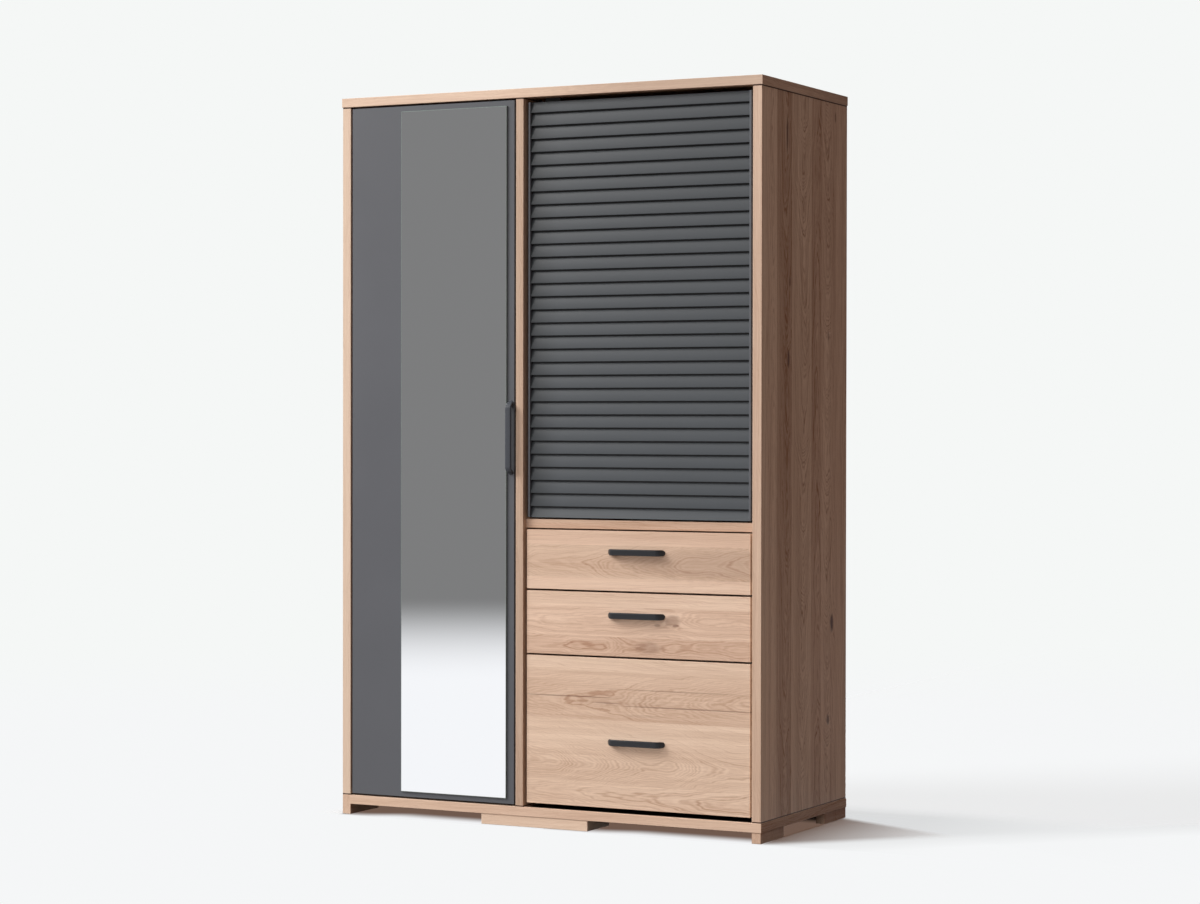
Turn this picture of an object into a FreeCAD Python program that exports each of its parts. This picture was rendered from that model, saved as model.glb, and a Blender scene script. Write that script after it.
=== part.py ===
"""Chifforobe: an oak wardrobe with a mirror door, a louvre-fronted door and three drawers.

Units are millimetres. +X is to the right seen from the front, the front faces -Y, +Z is up.
The origin is on the floor, under the middle of the outer box that the closed piece fills.
"""
import FreeCAD, Part
import math
import os

from FreeCAD import Vector

# ---------------------------------------------------------------- carcass
overall_height = 2000.0
carcass_width = 1280.0          # over the two side panels
carcass_depth = 580.0           # front edges of the sides to the back
end_board_thickness = 25.0      # top and bottom boards
end_board_overhang = 2.0        # past the sides and the front edges
side_thickness = 26.0
divider_thickness = 23.0
left_opening_width = 526.0
fixed_shelf_thickness = 24.0
fixed_shelf_recess = 17.0       # its front edge behind the carcass front
board_chamfer = 0.8
back_panel_thickness = 6.0
back_rebate_depth = 10.0        # how far the back panels reach into the boards round them
back_joint_gap = 0.5            # between the two back panels, behind the divider

# ---------------------------------------------------------------- feet
foot_height = 29.0
corner_foot_width = 26.0
corner_foot_length = 150.0
centre_foot_width = 326.0
centre_foot_depth = 130.0
centre_foot_shift = -31.0       # middle of the centre feet, from the middle of the carcass

# ---------------------------------------------------------------- mirror door
mirror_door_recess = 1.0
mirror_door_thickness = 19.0
mirror_door_side_gap = 5.0
mirror_door_end_gap = 5.0
mirror_width = 333.0
mirror_thickness = 5.0
mirror_edge_margin = 22.0       # on the handle side
mirror_end_margin = 15.0        # above and below the glass
mirror_bevel = 0.6

# ---------------------------------------------------------------- louvre door
louvre_door_recess = 11.0
louvre_panel_thickness = 16.0
louvre_door_side_gap = 9.0
louvre_door_top_gap = 12.0
louvre_door_bottom_gap = 5.0
edge_strip_width = 6.0
edge_strip_depth = 11.0         # the strips stand this far in front of the backing panel
slat_pitch = 35.46
top_slat_height = 28.0          # door top to the first shadow line
slat_nose_setback = 2.0         # lower edge of a slat, behind the front of the strips
slat_top_setback = 9.0          # upper edge of a slat, behind the front of the strips
slat_shadow_gap = 3.0
slat_nose_ease = 1.2            # chamfer along the lower edge of a slat

# ---------------------------------------------------------------- drawers
top_drawer_height = 160.0
middle_drawer_height = 170.0
bottom_drawer_height = 401.0
drawer_gap = 5.0                # between two drawer fronts
drawer_bottom_gap = 12.0        # under the lowest front
drawer_top_gap = 4.0            # between the top front and the fixed shelf
drawer_side_gap = 8.0
drawer_recess = 7.0
drawer_front_thickness = 19.0
drawer_board_thickness = 14.0
drawer_bottom_thickness = 6.0
drawer_bottom_rise = 12.0       # underside of the bottom, above the lower edge of the sides
drawer_groove_depth = 6.0
box_below_front_top = 30.0
box_above_front_bottom = 20.0
drawer_rear_clearance = 48.0    # between the drawer boxes and the back panels

# ---------------------------------------------------------------- drawer runners
runner_thickness = 12.7
runner_height = 45.0
runner_sheet = 1.2
runner_clearance = 0.3
runner_front_setback = 5.0      # behind the inner face of the drawer front
runner_above_box_bottom = 30.0  # lower edge of the runner
runner_end_step = 6.0           # how much shorter each inner member is at its rear end

# ---------------------------------------------------------------- handles
handle_projection = 20.0
handle_sheet = 7.0
handle_leg_run = 18.0           # how far each leg leans outwards over its height
handle_inner_bend = 2.0
handle_edge_ease = 1.6          # chamfer along every rim of the bow
drawer_handle_length = 170.0
drawer_handle_width = 17.0
door_handle_length = 202.0
door_handle_width = 18.0
door_handle_inset = 1.0         # from the free edge of the door
door_handle_height = 1055.0     # middle of the handle above the floor
top_handle_drop = 56.0          # middle of each drawer handle, below the top of its front
middle_handle_drop = 60.0
bottom_handle_drop = 224.0

# ---------------------------------------------------------------- cup hinges
hinge_pivot_inset = 18.0        # pin to the hinged edge of the door
hinge_pivot_depth = 8.0         # pin to the back face of the door
hinge_cup_radius = 17.4
hinge_cup_bore_clearance = 0.1
hinge_cup_floor = 1.0
hinge_cup_depth = 13.0
hinge_cup_offset = 4.0          # middle of the cup, past the pin
hinge_pocket_back = 11.5        # from the pin towards the hinged edge: room for the open neck
hinge_pocket_front = 18.0       # from the pin the other way: room for the closed neck
hinge_pocket_clearance = 0.6    # on each side of the neck
hinge_pin_radius = 1.6
hinge_pin_seat_clearance = 0.03
hinge_pin_running_clearance = 0.05
hinge_pin_length = 32.6
hinge_eye_radius = 3.6
hinge_neck_thickness = 2.5
hinge_neck_width = 11.0
hinge_neck_angle = 30.0         # degrees, direction in which the neck leaves the pin
hinge_neck_reach = 16.7         # pin to the first bend
hinge_neck_rise = 22.75         # pin to the middle of the cross bar
hinge_neck_top_inset = 17.0     # pin to the outer end of the cross bar
hinge_neck_bend = 4.0
hinge_cross_bend = 7.0
hinge_flange_thickness = 1.5
hinge_flange_length = 64.0
hinge_flange_width = 28.0
hinge_flange_start = -4.0       # edge of the flange nearest the hinged edge, from the pin
hinge_flange_corner = 5.0       # cut off each corner
hinge_arm_length = 52.0
hinge_arm_width = 18.0
hinge_arm_height = 12.0
hinge_arm_sheet = 2.0
hinge_plate_at_mirror_door = 3.0
hinge_plate_length = 42.0
hinge_plate_width = 22.0
hinge_plate_wing_length = 56.0
hinge_plate_wing_width = 14.0
hinge_plate_setback = 5.0       # behind the front of the arm
hinge_end_distance = 110.0      # middle of the outer hinges to the ends of the door
mirror_door_hinge_count = 4
louvre_door_hinge_count = 3

# ---------------------------------------------------------------- fittings inside
catch_width = 46.0
catch_depth = 14.0
catch_overlap = 16.0            # how far a catch reaches down behind its door
catch_plate_thickness = 1.0
catch_plate_margin = 3.0
catch_gap = 0.3
catch_edge_distance = 60.0      # middle of the catch to the free edge of the door
hat_space_height = 317.0        # clear height over the hat shelf
shelf_thickness = 18.0
shelf_end_clearance = 1.0
shelf_front_setback = 55.0      # behind the carcass front, clear of the hinge arms
lower_bay_height = 355.0        # clear height, fixed shelf to lower loose shelf
middle_bay_height = 352.0       # clear height, lower to upper loose shelf
support_leg = 15.0              # of the small angles under the loose shelves
support_width = 14.0
support_sheet = 1.5
support_edge_distance = 60.0    # middle of an angle to the nearer edge of its shelf
rail_width = 15.0
rail_height = 30.0
rail_wall = 1.2
rail_below_shelf = 60.0         # underside of the hat shelf to the middle of the clothes rail
socket_base_thickness = 3.0
socket_rim_wall = 2.0
socket_rim_depth = 10.0
socket_clearance = 0.2
bracket_leg_length = 50.0
bracket_width = 40.0
bracket_sheet = 2.5
bracket_hole_radius = 3.0
bracket_hole_drop = 30.0        # below the top board

# ---------------------------------------------------------------- planes worked out from the sizes
front_reach = handle_projection - mirror_door_recess
total_depth = carcass_depth + front_reach
y_back = total_depth / 2
y_front = y_back - carcass_depth
y_back_panel = y_back - back_panel_thickness

x_left = -carcass_width / 2
x_right = carcass_width / 2
x_left_inner = x_left + side_thickness
x_right_inner = x_right - side_thickness
x_divider_left = x_left_inner + left_opening_width
x_divider_right = x_divider_left + divider_thickness
x_divider_middle = (x_divider_left + x_divider_right) / 2

z_bottom_board = foot_height
z_bottom_inner = foot_height + end_board_thickness
z_top_inner = overall_height - end_board_thickness

z_bottom_drawer = z_bottom_inner + drawer_bottom_gap
z_middle_drawer = z_bottom_drawer + bottom_drawer_height + drawer_gap
z_top_drawer = z_middle_drawer + middle_drawer_height + drawer_gap
z_fixed_shelf = z_top_drawer + top_drawer_height + drawer_top_gap
z_fixed_shelf_top = z_fixed_shelf + fixed_shelf_thickness
z_lower_shelf = z_fixed_shelf_top + lower_bay_height
z_upper_shelf = z_lower_shelf + shelf_thickness + middle_bay_height
z_hat_shelf = z_top_inner - hat_space_height - shelf_thickness

mirror_door_x0 = x_left_inner + mirror_door_side_gap
mirror_door_x1 = x_divider_left - mirror_door_side_gap
mirror_door_y = y_front + mirror_door_recess
mirror_door_back = mirror_door_y + mirror_door_thickness
mirror_door_z0 = z_bottom_inner + mirror_door_end_gap
mirror_door_z1 = z_top_inner - mirror_door_end_gap

louvre_door_x0 = x_divider_right + louvre_door_side_gap
louvre_door_x1 = x_right_inner - louvre_door_side_gap
louvre_door_y = y_front + louvre_door_recess
louvre_panel_y = louvre_door_y + edge_strip_depth
louvre_door_back = louvre_panel_y + louvre_panel_thickness
louvre_door_z0 = z_fixed_shelf_top + louvre_door_bottom_gap
louvre_door_z1 = z_top_inner - louvre_door_top_gap

drawer_front_y = y_front + drawer_recess
drawer_box_y = drawer_front_y + drawer_front_thickness
drawer_box_end = y_back_panel - drawer_rear_clearance
drawer_front_x0 = x_divider_right + drawer_side_gap
drawer_front_x1 = x_right_inner - drawer_side_gap
drawer_box_x0 = x_divider_right + runner_thickness
drawer_box_x1 = x_right_inner - runner_thickness
drawer_middle_x = (drawer_front_x0 + drawer_front_x1) / 2

hinge_plate_at_louvre_door = hinge_plate_at_mirror_door + louvre_door_side_gap - mirror_door_side_gap
hinge_arm_seat = -hinge_pivot_inset - mirror_door_side_gap + hinge_plate_at_mirror_door
hinge_arm_front = hinge_neck_rise - hinge_neck_thickness / 2


# ---------------------------------------------------------------- basic forms
shortest_edge = 1e-6            # below this, two rounded corners meet with no straight between
cut_overrun = 1.0               # how far a cutter reaches past the face that it opens


def box(x0, x1, y0, y1, z0, z1):
    """A plain block between two corners."""
    return Part.makeBox(x1 - x0, y1 - y0, z1 - z0, Vector(x0, y0, z0))


def board(x0, x1, y0, y1, z0, z1):
    """A board with every arris eased."""
    blank = box(x0, x1, y0, y1, z0, z1)
    return blank.makeChamfer(board_chamfer, blank.Edges)


def cylinder(radius, start, direction, length):
    """A round bar or the cutter of a round hole."""
    return Part.makeCylinder(radius, length, start, direction)


def rounded_wire(points, radii):
    """A closed flat wire through corner points, each corner rounded by a tangent arc."""
    edges = []
    ends = []
    count = len(points)
    for index in range(count):
        corner = points[index]
        radius = radii[index]
        before = (points[index - 1] - corner).normalize()
        after = (points[(index + 1) % count] - corner).normalize()
        if radius <= 0:
            ends.append((corner, None, corner))
            continue
        half = before.getAngle(after) / 2
        reach = radius / math.tan(half)
        bisector = (before + after).normalize()
        centre = corner + bisector * (radius / math.sin(half))
        middle = centre - bisector * radius
        ends.append((corner + before * reach, middle, corner + after * reach))
    for index in range(count):
        start, middle, stop = ends[index]
        following = ends[(index + 1) % count][0]
        if middle is not None:
            edges.append(Part.Arc(start, middle, stop).toShape())
        if stop.distanceToPoint(following) > shortest_edge:
            edges.append(Part.makeLine(stop, following))
    return Part.Wire(edges)


def prism(points, radii, travel):
    """A flat outline with rounded corners, pushed along a vector."""
    return Part.Face(rounded_wire(points, radii)).extrude(travel)


def save(name, *solids):
    """Write one node, as one solid or as a group of separate solids."""
    shape = solids[0] if len(solids) == 1 else Part.makeCompound(list(solids))
    shape.exportStep("parts/" + name + ".step")


# ---------------------------------------------------------------- carcass boards
def rear_rebate(x0, x1, z0, z1):
    """The space that the back panels take, cut out of the boards round them."""
    return box(x0, x1, y_back_panel, y_back + cut_overrun, z0, z1)


def back_space():
    """One rebate round the whole back."""
    return rear_rebate(x_left_inner - back_rebate_depth, x_right_inner + back_rebate_depth,
                       z_bottom_inner - back_rebate_depth, z_top_inner + back_rebate_depth)


def end_board(z0):
    """The top or the bottom board, which runs over the sides."""
    blank = board(x_left - end_board_overhang, x_right + end_board_overhang,
                  y_front - end_board_overhang, y_back, z0, z0 + end_board_thickness)
    return blank.cut(back_space())


def make_top_panel():
    save("top_panel", end_board(z_top_inner))


def make_bottom_panel():
    """The bottom board, notched at the front left corner, where the foot runs up to the side."""
    overrun = end_board_overhang + cut_overrun
    notch = box(x_left - overrun, x_left + corner_foot_width, y_front - overrun, y_front + corner_foot_length,
                z_bottom_board - cut_overrun, z_bottom_inner + cut_overrun)
    save("bottom_panel", end_board(z_bottom_board).cut(notch))


def make_left_side_panel():
    panel = board(x_left, x_left_inner, y_front, y_back, z_bottom_inner, z_top_inner)
    save("left_side_panel", panel.cut(back_space()))


def make_right_side_panel():
    panel = board(x_right_inner, x_right, y_front, y_back, z_bottom_inner, z_top_inner)
    save("right_side_panel", panel.cut(back_space()))


def make_centre_divider():
    save("centre_divider", board(x_divider_left, x_divider_right, y_front, y_back_panel,
                                 z_bottom_inner, z_top_inner))


def make_fixed_shelf():
    save("fixed_shelf", board(x_divider_right, x_right_inner, y_front + fixed_shelf_recess, y_back_panel,
                              z_fixed_shelf, z_fixed_shelf_top))


def wall_fixing_points():
    """Middle of each bay, where a bracket and the back panel take a wall screw."""
    left = (x_left_inner + x_divider_left) / 2
    right = (x_divider_right + x_right_inner) / 2
    height = z_top_inner - bracket_hole_drop
    return [Vector(left, y_back_panel, height), Vector(right, y_back_panel, height)]


def make_back_panels():
    """Two thin panels let into the rebate, meeting behind the divider."""
    z0 = z_bottom_inner - back_rebate_depth
    z1 = z_top_inner + back_rebate_depth
    left = box(x_left_inner - back_rebate_depth, x_divider_middle - back_joint_gap / 2,
               y_back_panel, y_back, z0, z1)
    right = box(x_divider_middle + back_joint_gap / 2, x_right_inner + back_rebate_depth,
                y_back_panel, y_back, z0, z1)
    holes = [cylinder(bracket_hole_radius, point, Vector(0, 1, 0), back_panel_thickness)
             for point in wall_fixing_points()]
    save("back_panel_left", left.cut(holes[0]))
    save("back_panel_right", right.cut(holes[1]))


# ---------------------------------------------------------------- feet
def make_feet():
    y_rear = y_back - corner_foot_length
    y_front_end = y_front + corner_foot_length
    x_left_end = x_left + corner_foot_width
    x_right_end = x_right - corner_foot_width
    save("front_left_foot", board(x_left, x_left_end, y_front, y_front_end, 0, z_bottom_inner))
    save("front_right_foot", board(x_right_end, x_right, y_front, y_front_end, 0, foot_height))
    save("rear_left_foot", board(x_left, x_left_end, y_rear, y_back, 0, foot_height))
    save("rear_right_foot", board(x_right_end, x_right, y_rear, y_back, 0, foot_height))
    x0 = centre_foot_shift - centre_foot_width / 2
    x1 = centre_foot_shift + centre_foot_width / 2
    save("front_centre_foot", board(x0, x1, y_front, y_front + centre_foot_depth, 0, foot_height))
    save("rear_centre_foot", board(x0, x1, y_back - centre_foot_depth, y_back, 0, foot_height))


# ---------------------------------------------------------------- handles
def bow_handle(length, width):
    """A flat bow on two leaning legs: length along X, feet on the XZ plane, bow towards -Y."""
    lean = math.atan2(handle_projection, handle_leg_run)
    foot = handle_sheet / math.sin(lean)
    inner_rise = handle_projection - handle_sheet
    inner_run = foot + inner_rise / math.tan(lean)
    outer_bend = handle_inner_bend + handle_sheet
    half = length / 2
    outline = [(-half, 0), (-half + handle_leg_run, handle_projection),
               (half - handle_leg_run, handle_projection), (half, 0),
               (half - foot, 0), (half - inner_run, inner_rise),
               (-half + inner_run, inner_rise), (-half + foot, 0)]
    radii = [0, outer_bend, outer_bend, 0, 0, handle_inner_bend, handle_inner_bend, 0]
    points = [Vector(along, -out, -width / 2) for along, out in outline]
    bow = prism(points, radii, Vector(0, 0, width))
    rims = [edge for edge in bow.Edges
            if edge.BoundBox.ZLength < width / 2 and edge.BoundBox.YMin < -handle_edge_ease]
    return bow.makeChamfer(handle_edge_ease, rims)


def make_door_handle():
    handle = bow_handle(door_handle_length, door_handle_width)
    handle.rotate(Vector(0, 0, 0), Vector(0, 1, 0), 90)
    x = mirror_door_x1 - door_handle_inset - door_handle_width / 2
    handle.translate(Vector(x, mirror_door_y, door_handle_height))
    save("mirror_door_handle", handle)


# ---------------------------------------------------------------- cup hinges, pin at the origin
def hinge_flange():
    """The plate round the cup's mouth, with its corners cut off."""
    x0 = hinge_flange_start
    x1 = hinge_flange_start + hinge_flange_width
    end = hinge_flange_length / 2
    corner = hinge_flange_corner
    outline = [(x0 + corner, -end), (x1 - corner, -end), (x1, -end + corner), (x1, end - corner),
               (x1 - corner, end), (x0 + corner, end), (x0, end - corner), (x0, -end + corner)]
    points = [Vector(x, hinge_pivot_depth, z) for x, z in outline]
    return prism(points, [0] * len(points), Vector(0, hinge_flange_thickness, 0))


def hinge_cup():
    """The cast cup with its flange: it fills the bore in the door, holds the pin, and has a
    pocket in which the neck swings."""
    floor = -hinge_cup_depth + hinge_pivot_depth
    body = cylinder(hinge_cup_radius, Vector(hinge_cup_offset, floor, 0), Vector(0, 1, 0), hinge_cup_depth)
    half = hinge_neck_width / 2 + hinge_pocket_clearance
    pocket = box(-hinge_pocket_back, hinge_pocket_front, floor + hinge_cup_floor,
                 hinge_pivot_depth + hinge_flange_thickness + cut_overrun, -half, half)
    pin_hole = cylinder(hinge_pin_radius + hinge_pin_seat_clearance,
                        Vector(0, 0, -hinge_cup_radius), Vector(0, 0, 1), 2 * hinge_cup_radius)
    return body.fuse(hinge_flange()).removeSplitter().cut(pocket).cut(pin_hole)


def hinge_pin():
    return cylinder(hinge_pin_radius, Vector(0, 0, -hinge_pin_length / 2), Vector(0, 0, 1), hinge_pin_length)


def neck_points():
    """Middle line of the neck: out of the cup, up past the door's edge, across to the arm."""
    angle = math.radians(hinge_neck_angle)
    first = Vector(hinge_neck_reach * math.cos(angle), hinge_neck_reach * math.sin(angle), 0)
    second = Vector(hinge_neck_top_inset, hinge_neck_rise, 0)
    arm_side = hinge_arm_seat + hinge_arm_height
    last = Vector(arm_side - hinge_arm_sheet, hinge_neck_rise, 0)
    return [Vector(0, 0, 0), first, second, last]


def offset_corner(before, corner, after, distance):
    """The corner of a line moved sideways to its left by a distance."""
    first = (corner - before).normalize()
    second = (after - corner).normalize()
    left_of_first = Vector(-first.y, first.x, 0)
    left_of_second = Vector(-second.y, second.x, 0)
    mitre = (left_of_first + left_of_second).normalize()
    return corner + mitre * (distance / mitre.dot(left_of_first))


def hinge_neck():
    """The goose neck, a flat bar bent twice, with the eye that turns on the pin."""
    start, first, second, last = neck_points()
    half = hinge_neck_thickness / 2
    leave = (first - start).normalize()
    side = Vector(-leave.y, leave.x, 0)
    left = [start + side * half, offset_corner(start, first, second, half),
            offset_corner(first, second, last, half), last + Vector(0, -half, 0)]
    right = [start - side * half, offset_corner(start, first, second, -half),
             offset_corner(first, second, last, -half), last + Vector(0, half, 0)]
    outline = left + right[::-1]
    drop = Vector(0, 0, -hinge_neck_width / 2)
    points = [point + drop for point in outline]
    inner = hinge_neck_bend - half
    outer = hinge_neck_bend + half
    cross_inner = hinge_cross_bend - half
    cross_outer = hinge_cross_bend + half
    radii = [0, inner, cross_inner, 0, 0, cross_outer, outer, 0]
    neck = prism(points, radii, Vector(0, 0, hinge_neck_width))
    eye = cylinder(hinge_eye_radius, drop, Vector(0, 0, 1), hinge_neck_width)
    return neck.fuse(eye)


def hinge_arm():
    """The fixed arm: the neck runs into a channel that seats on the mounting plate."""
    top = hinge_arm_seat + hinge_arm_height
    half = hinge_arm_width / 2
    y0 = hinge_arm_front
    y1 = y0 + hinge_arm_length
    outer = box(hinge_arm_seat, top, y0, y1, -half, half)
    inner = box(hinge_arm_seat - cut_overrun, top - hinge_arm_sheet, y0 + hinge_arm_sheet, y1 + cut_overrun,
                -half + hinge_arm_sheet, half - hinge_arm_sheet)
    bore = cylinder(hinge_pin_radius + hinge_pin_running_clearance,
                    Vector(0, 0, -hinge_arm_width / 2), Vector(0, 0, 1), hinge_arm_width)
    return outer.cut(inner).fuse(hinge_neck()).removeSplitter().cut(bore)


def hinge_plate(thickness):
    """The cross-shaped mounting plate between the arm and the side panel."""
    x0 = hinge_arm_seat - thickness
    y0 = hinge_arm_front + hinge_plate_setback
    y_middle = y0 + hinge_plate_length / 2
    body = box(x0, hinge_arm_seat, y0, y0 + hinge_plate_length, -hinge_plate_width / 2, hinge_plate_width / 2)
    wings = box(x0, hinge_arm_seat, y_middle - hinge_plate_wing_width / 2,
                y_middle + hinge_plate_wing_width / 2,
                -hinge_plate_wing_length / 2, hinge_plate_wing_length / 2)
    return body.fuse(wings).removeSplitter()


def hinge_heights(z0, z1, count):
    """Middles of the hinges, evenly spaced between the two outer ones."""
    first = z0 + hinge_end_distance
    step = (z1 - z0 - 2 * hinge_end_distance) / (count - 1)
    return [first + step * index for index in range(count)]


def placed_hinges(piece, pivot_x, pivot_y, heights, mirrored):
    """Copies of one hinge piece at every height, turned over for a right-hand door."""
    copies = []
    for height in heights:
        copy = piece.mirror(Vector(0, 0, 0), Vector(1, 0, 0)) if mirrored else piece.copy()
        copy.translate(Vector(pivot_x, pivot_y, height))
        copies.append(copy)
    return copies


def make_hinges(door, pivot_x, pivot_y, heights, plate_thickness, mirrored):
    pieces = (("hinge_cups", hinge_cup()), ("hinge_pins", hinge_pin()),
              ("hinge_arms", hinge_arm()), ("hinge_plates", hinge_plate(plate_thickness)))
    for name, piece in pieces:
        save(door + "_" + name, *placed_hinges(piece, pivot_x, pivot_y, heights, mirrored))


def cup_bores(pivot_x, back_y, heights, side):
    """Cutters for the cup bores in the back of a door."""
    radius = hinge_cup_radius + hinge_cup_bore_clearance
    x = pivot_x + side * hinge_cup_offset
    return [cylinder(radius, Vector(x, back_y - hinge_cup_depth, height), Vector(0, 1, 0), hinge_cup_depth)
            for height in heights]


# ---------------------------------------------------------------- mirror door
def make_mirror_door():
    pivot_x = mirror_door_x0 + hinge_pivot_inset
    pivot_y = mirror_door_back - hinge_pivot_depth
    heights = hinge_heights(mirror_door_z0, mirror_door_z1, mirror_door_hinge_count)
    panel = board(mirror_door_x0, mirror_door_x1, mirror_door_y, mirror_door_back,
                  mirror_door_z0, mirror_door_z1)
    for bore in cup_bores(pivot_x, mirror_door_back, heights, 1):
        panel = panel.cut(bore)
    save("mirror_door_panel", panel)
    make_hinges("mirror_door", pivot_x, pivot_y, heights, hinge_plate_at_mirror_door, False)


def make_mirror_glass():
    """The tall glass, glued on the door, with a narrow bevel round its front."""
    x1 = mirror_door_x1 - mirror_edge_margin
    x0 = x1 - mirror_width
    y0 = mirror_door_y - mirror_thickness
    blank = box(x0, x1, y0, mirror_door_y, mirror_door_z0 + mirror_end_margin,
                mirror_door_z1 - mirror_end_margin)
    rim = [edge for edge in blank.Edges if edge.BoundBox.YMax < y0 + mirror_thickness / 2]
    save("mirror_glass", blank.makeChamfer(mirror_bevel, rim))


# ---------------------------------------------------------------- louvre door
def slat(z_nose, z_top):
    """One leaning slat: thin at the top, thick and eased at its lower edge."""
    x0 = louvre_door_x0 + edge_strip_width
    x1 = louvre_door_x1 - edge_strip_width
    y_nose = louvre_door_y + slat_nose_setback
    y_top = louvre_door_y + slat_top_setback
    points = [Vector(x0, louvre_panel_y, z_nose), Vector(x0, y_nose + slat_nose_ease, z_nose),
              Vector(x0, y_nose, z_nose + slat_nose_ease),
              Vector(x0, y_top, z_top), Vector(x0, louvre_panel_y, z_top)]
    return prism(points, [0] * len(points), Vector(x1 - x0, 0, 0))


def make_louvre_slats():
    """Lapped slats from the top down; the lowest one is trimmed to the door."""
    slats = [slat(louvre_door_z1 - top_slat_height,
                  louvre_door_z1 - top_slat_height + slat_pitch - slat_shadow_gap)]
    count = math.ceil((louvre_door_z1 - louvre_door_z0 - top_slat_height) / slat_pitch)
    for index in range(count):
        z_nose = louvre_door_z1 - top_slat_height - slat_pitch * (index + 1)
        slats.append(slat(z_nose, z_nose + slat_pitch - slat_shadow_gap))
    door = box(louvre_door_x0, louvre_door_x1, louvre_door_y, louvre_panel_y, louvre_door_z0, louvre_door_z1)
    slats[0] = slats[0].common(door)
    slats[-1] = slats[-1].common(door)
    save("louvre_slats", *slats)


def make_louvre_door():
    pivot_x = louvre_door_x1 - hinge_pivot_inset
    pivot_y = louvre_door_back - hinge_pivot_depth
    heights = hinge_heights(louvre_door_z0, louvre_door_z1, louvre_door_hinge_count)
    panel = board(louvre_door_x0, louvre_door_x1, louvre_panel_y, louvre_door_back,
                  louvre_door_z0, louvre_door_z1)
    for bore in cup_bores(pivot_x, louvre_door_back, heights, -1):
        panel = panel.cut(bore)
    save("louvre_door_panel", panel)
    left = board(louvre_door_x0, louvre_door_x0 + edge_strip_width, louvre_door_y, louvre_panel_y,
                 louvre_door_z0, louvre_door_z1)
    right = board(louvre_door_x1 - edge_strip_width, louvre_door_x1, louvre_door_y, louvre_panel_y,
                  louvre_door_z0, louvre_door_z1)
    save("louvre_door_edge_strips", left, right)
    make_hinges("louvre_door", pivot_x, pivot_y, heights, hinge_plate_at_louvre_door, True)


# ---------------------------------------------------------------- catches
def catch_pair(x_middle, door_back, door_top):
    """A magnet block under the top board, and the steel plate that meets it on the door."""
    half = catch_width / 2
    z0 = door_top - catch_overlap
    y0 = door_back + catch_plate_thickness + catch_gap
    block = board(x_middle - half, x_middle + half, y0, y0 + catch_depth, z0, z_top_inner)
    plate_half = half - catch_plate_margin
    plate = box(x_middle - plate_half, x_middle + plate_half, door_back, door_back + catch_plate_thickness,
                z0, door_top - catch_plate_margin)
    return block, plate


def make_catches():
    mirror_block, mirror_plate = catch_pair(mirror_door_x1 - catch_edge_distance, mirror_door_back,
                                            mirror_door_z1)
    louvre_block, louvre_plate = catch_pair(louvre_door_x0 + catch_edge_distance, louvre_door_back,
                                            louvre_door_z1)
    save("magnetic_catches", mirror_block, louvre_block)
    save("mirror_door_catch_plate", mirror_plate)
    save("louvre_door_catch_plate", louvre_plate)


# ---------------------------------------------------------------- shelves and clothes rail
def shelf(x0, x1, y_back_edge, z_underside):
    return board(x0, x1, y_front + shelf_front_setback, y_back_edge, z_underside, z_underside + shelf_thickness)


def make_shelves():
    """The hat shelf is fixed between its walls; the other two lie on small angles."""
    save("hat_shelf", shelf(x_left_inner, x_divider_left, y_back_panel, z_hat_shelf))
    x0 = x_divider_right + shelf_end_clearance
    x1 = x_right_inner - shelf_end_clearance
    y_back_edge = y_back_panel - shelf_end_clearance
    save("upper_shelf", shelf(x0, x1, y_back_edge, z_upper_shelf))
    save("lower_shelf", shelf(x0, x1, y_back_edge, z_lower_shelf))


def shelf_support(x_wall, direction, y, z):
    """One angle: a leg on the wall and a leg under the shelf."""
    y0 = y - support_width / 2
    outline = [(0, 0), (support_leg, 0), (support_leg, -support_sheet), (support_sheet, -support_sheet),
               (support_sheet, -support_leg), (0, -support_leg)]
    points = [Vector(x_wall + direction * out, y0, z + rise) for out, rise in outline]
    return prism(points, [0] * len(points), Vector(0, support_width, 0))


def make_shelf_supports():
    """Two angles in each wall of the right bay for each loose shelf."""
    y_places = (y_front + shelf_front_setback + support_edge_distance, y_back_panel - support_edge_distance)
    supports = [shelf_support(x_wall, direction, y, z)
                for x_wall, direction in ((x_divider_right, 1), (x_right_inner, -1))
                for z in (z_lower_shelf, z_upper_shelf) for y in y_places]
    save("shelf_supports", *supports)


def racetrack(x, width, height, middle_y, middle_z, travel):
    """An upright oval bar along X: two flats joined by half rounds."""
    radius = width / 2
    low = middle_z - height / 2
    high = middle_z + height / 2
    points = [Vector(x, middle_y - radius, low), Vector(x, middle_y + radius, low),
              Vector(x, middle_y + radius, high), Vector(x, middle_y - radius, high)]
    return prism(points, [radius] * 4, Vector(travel, 0, 0))


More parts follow.
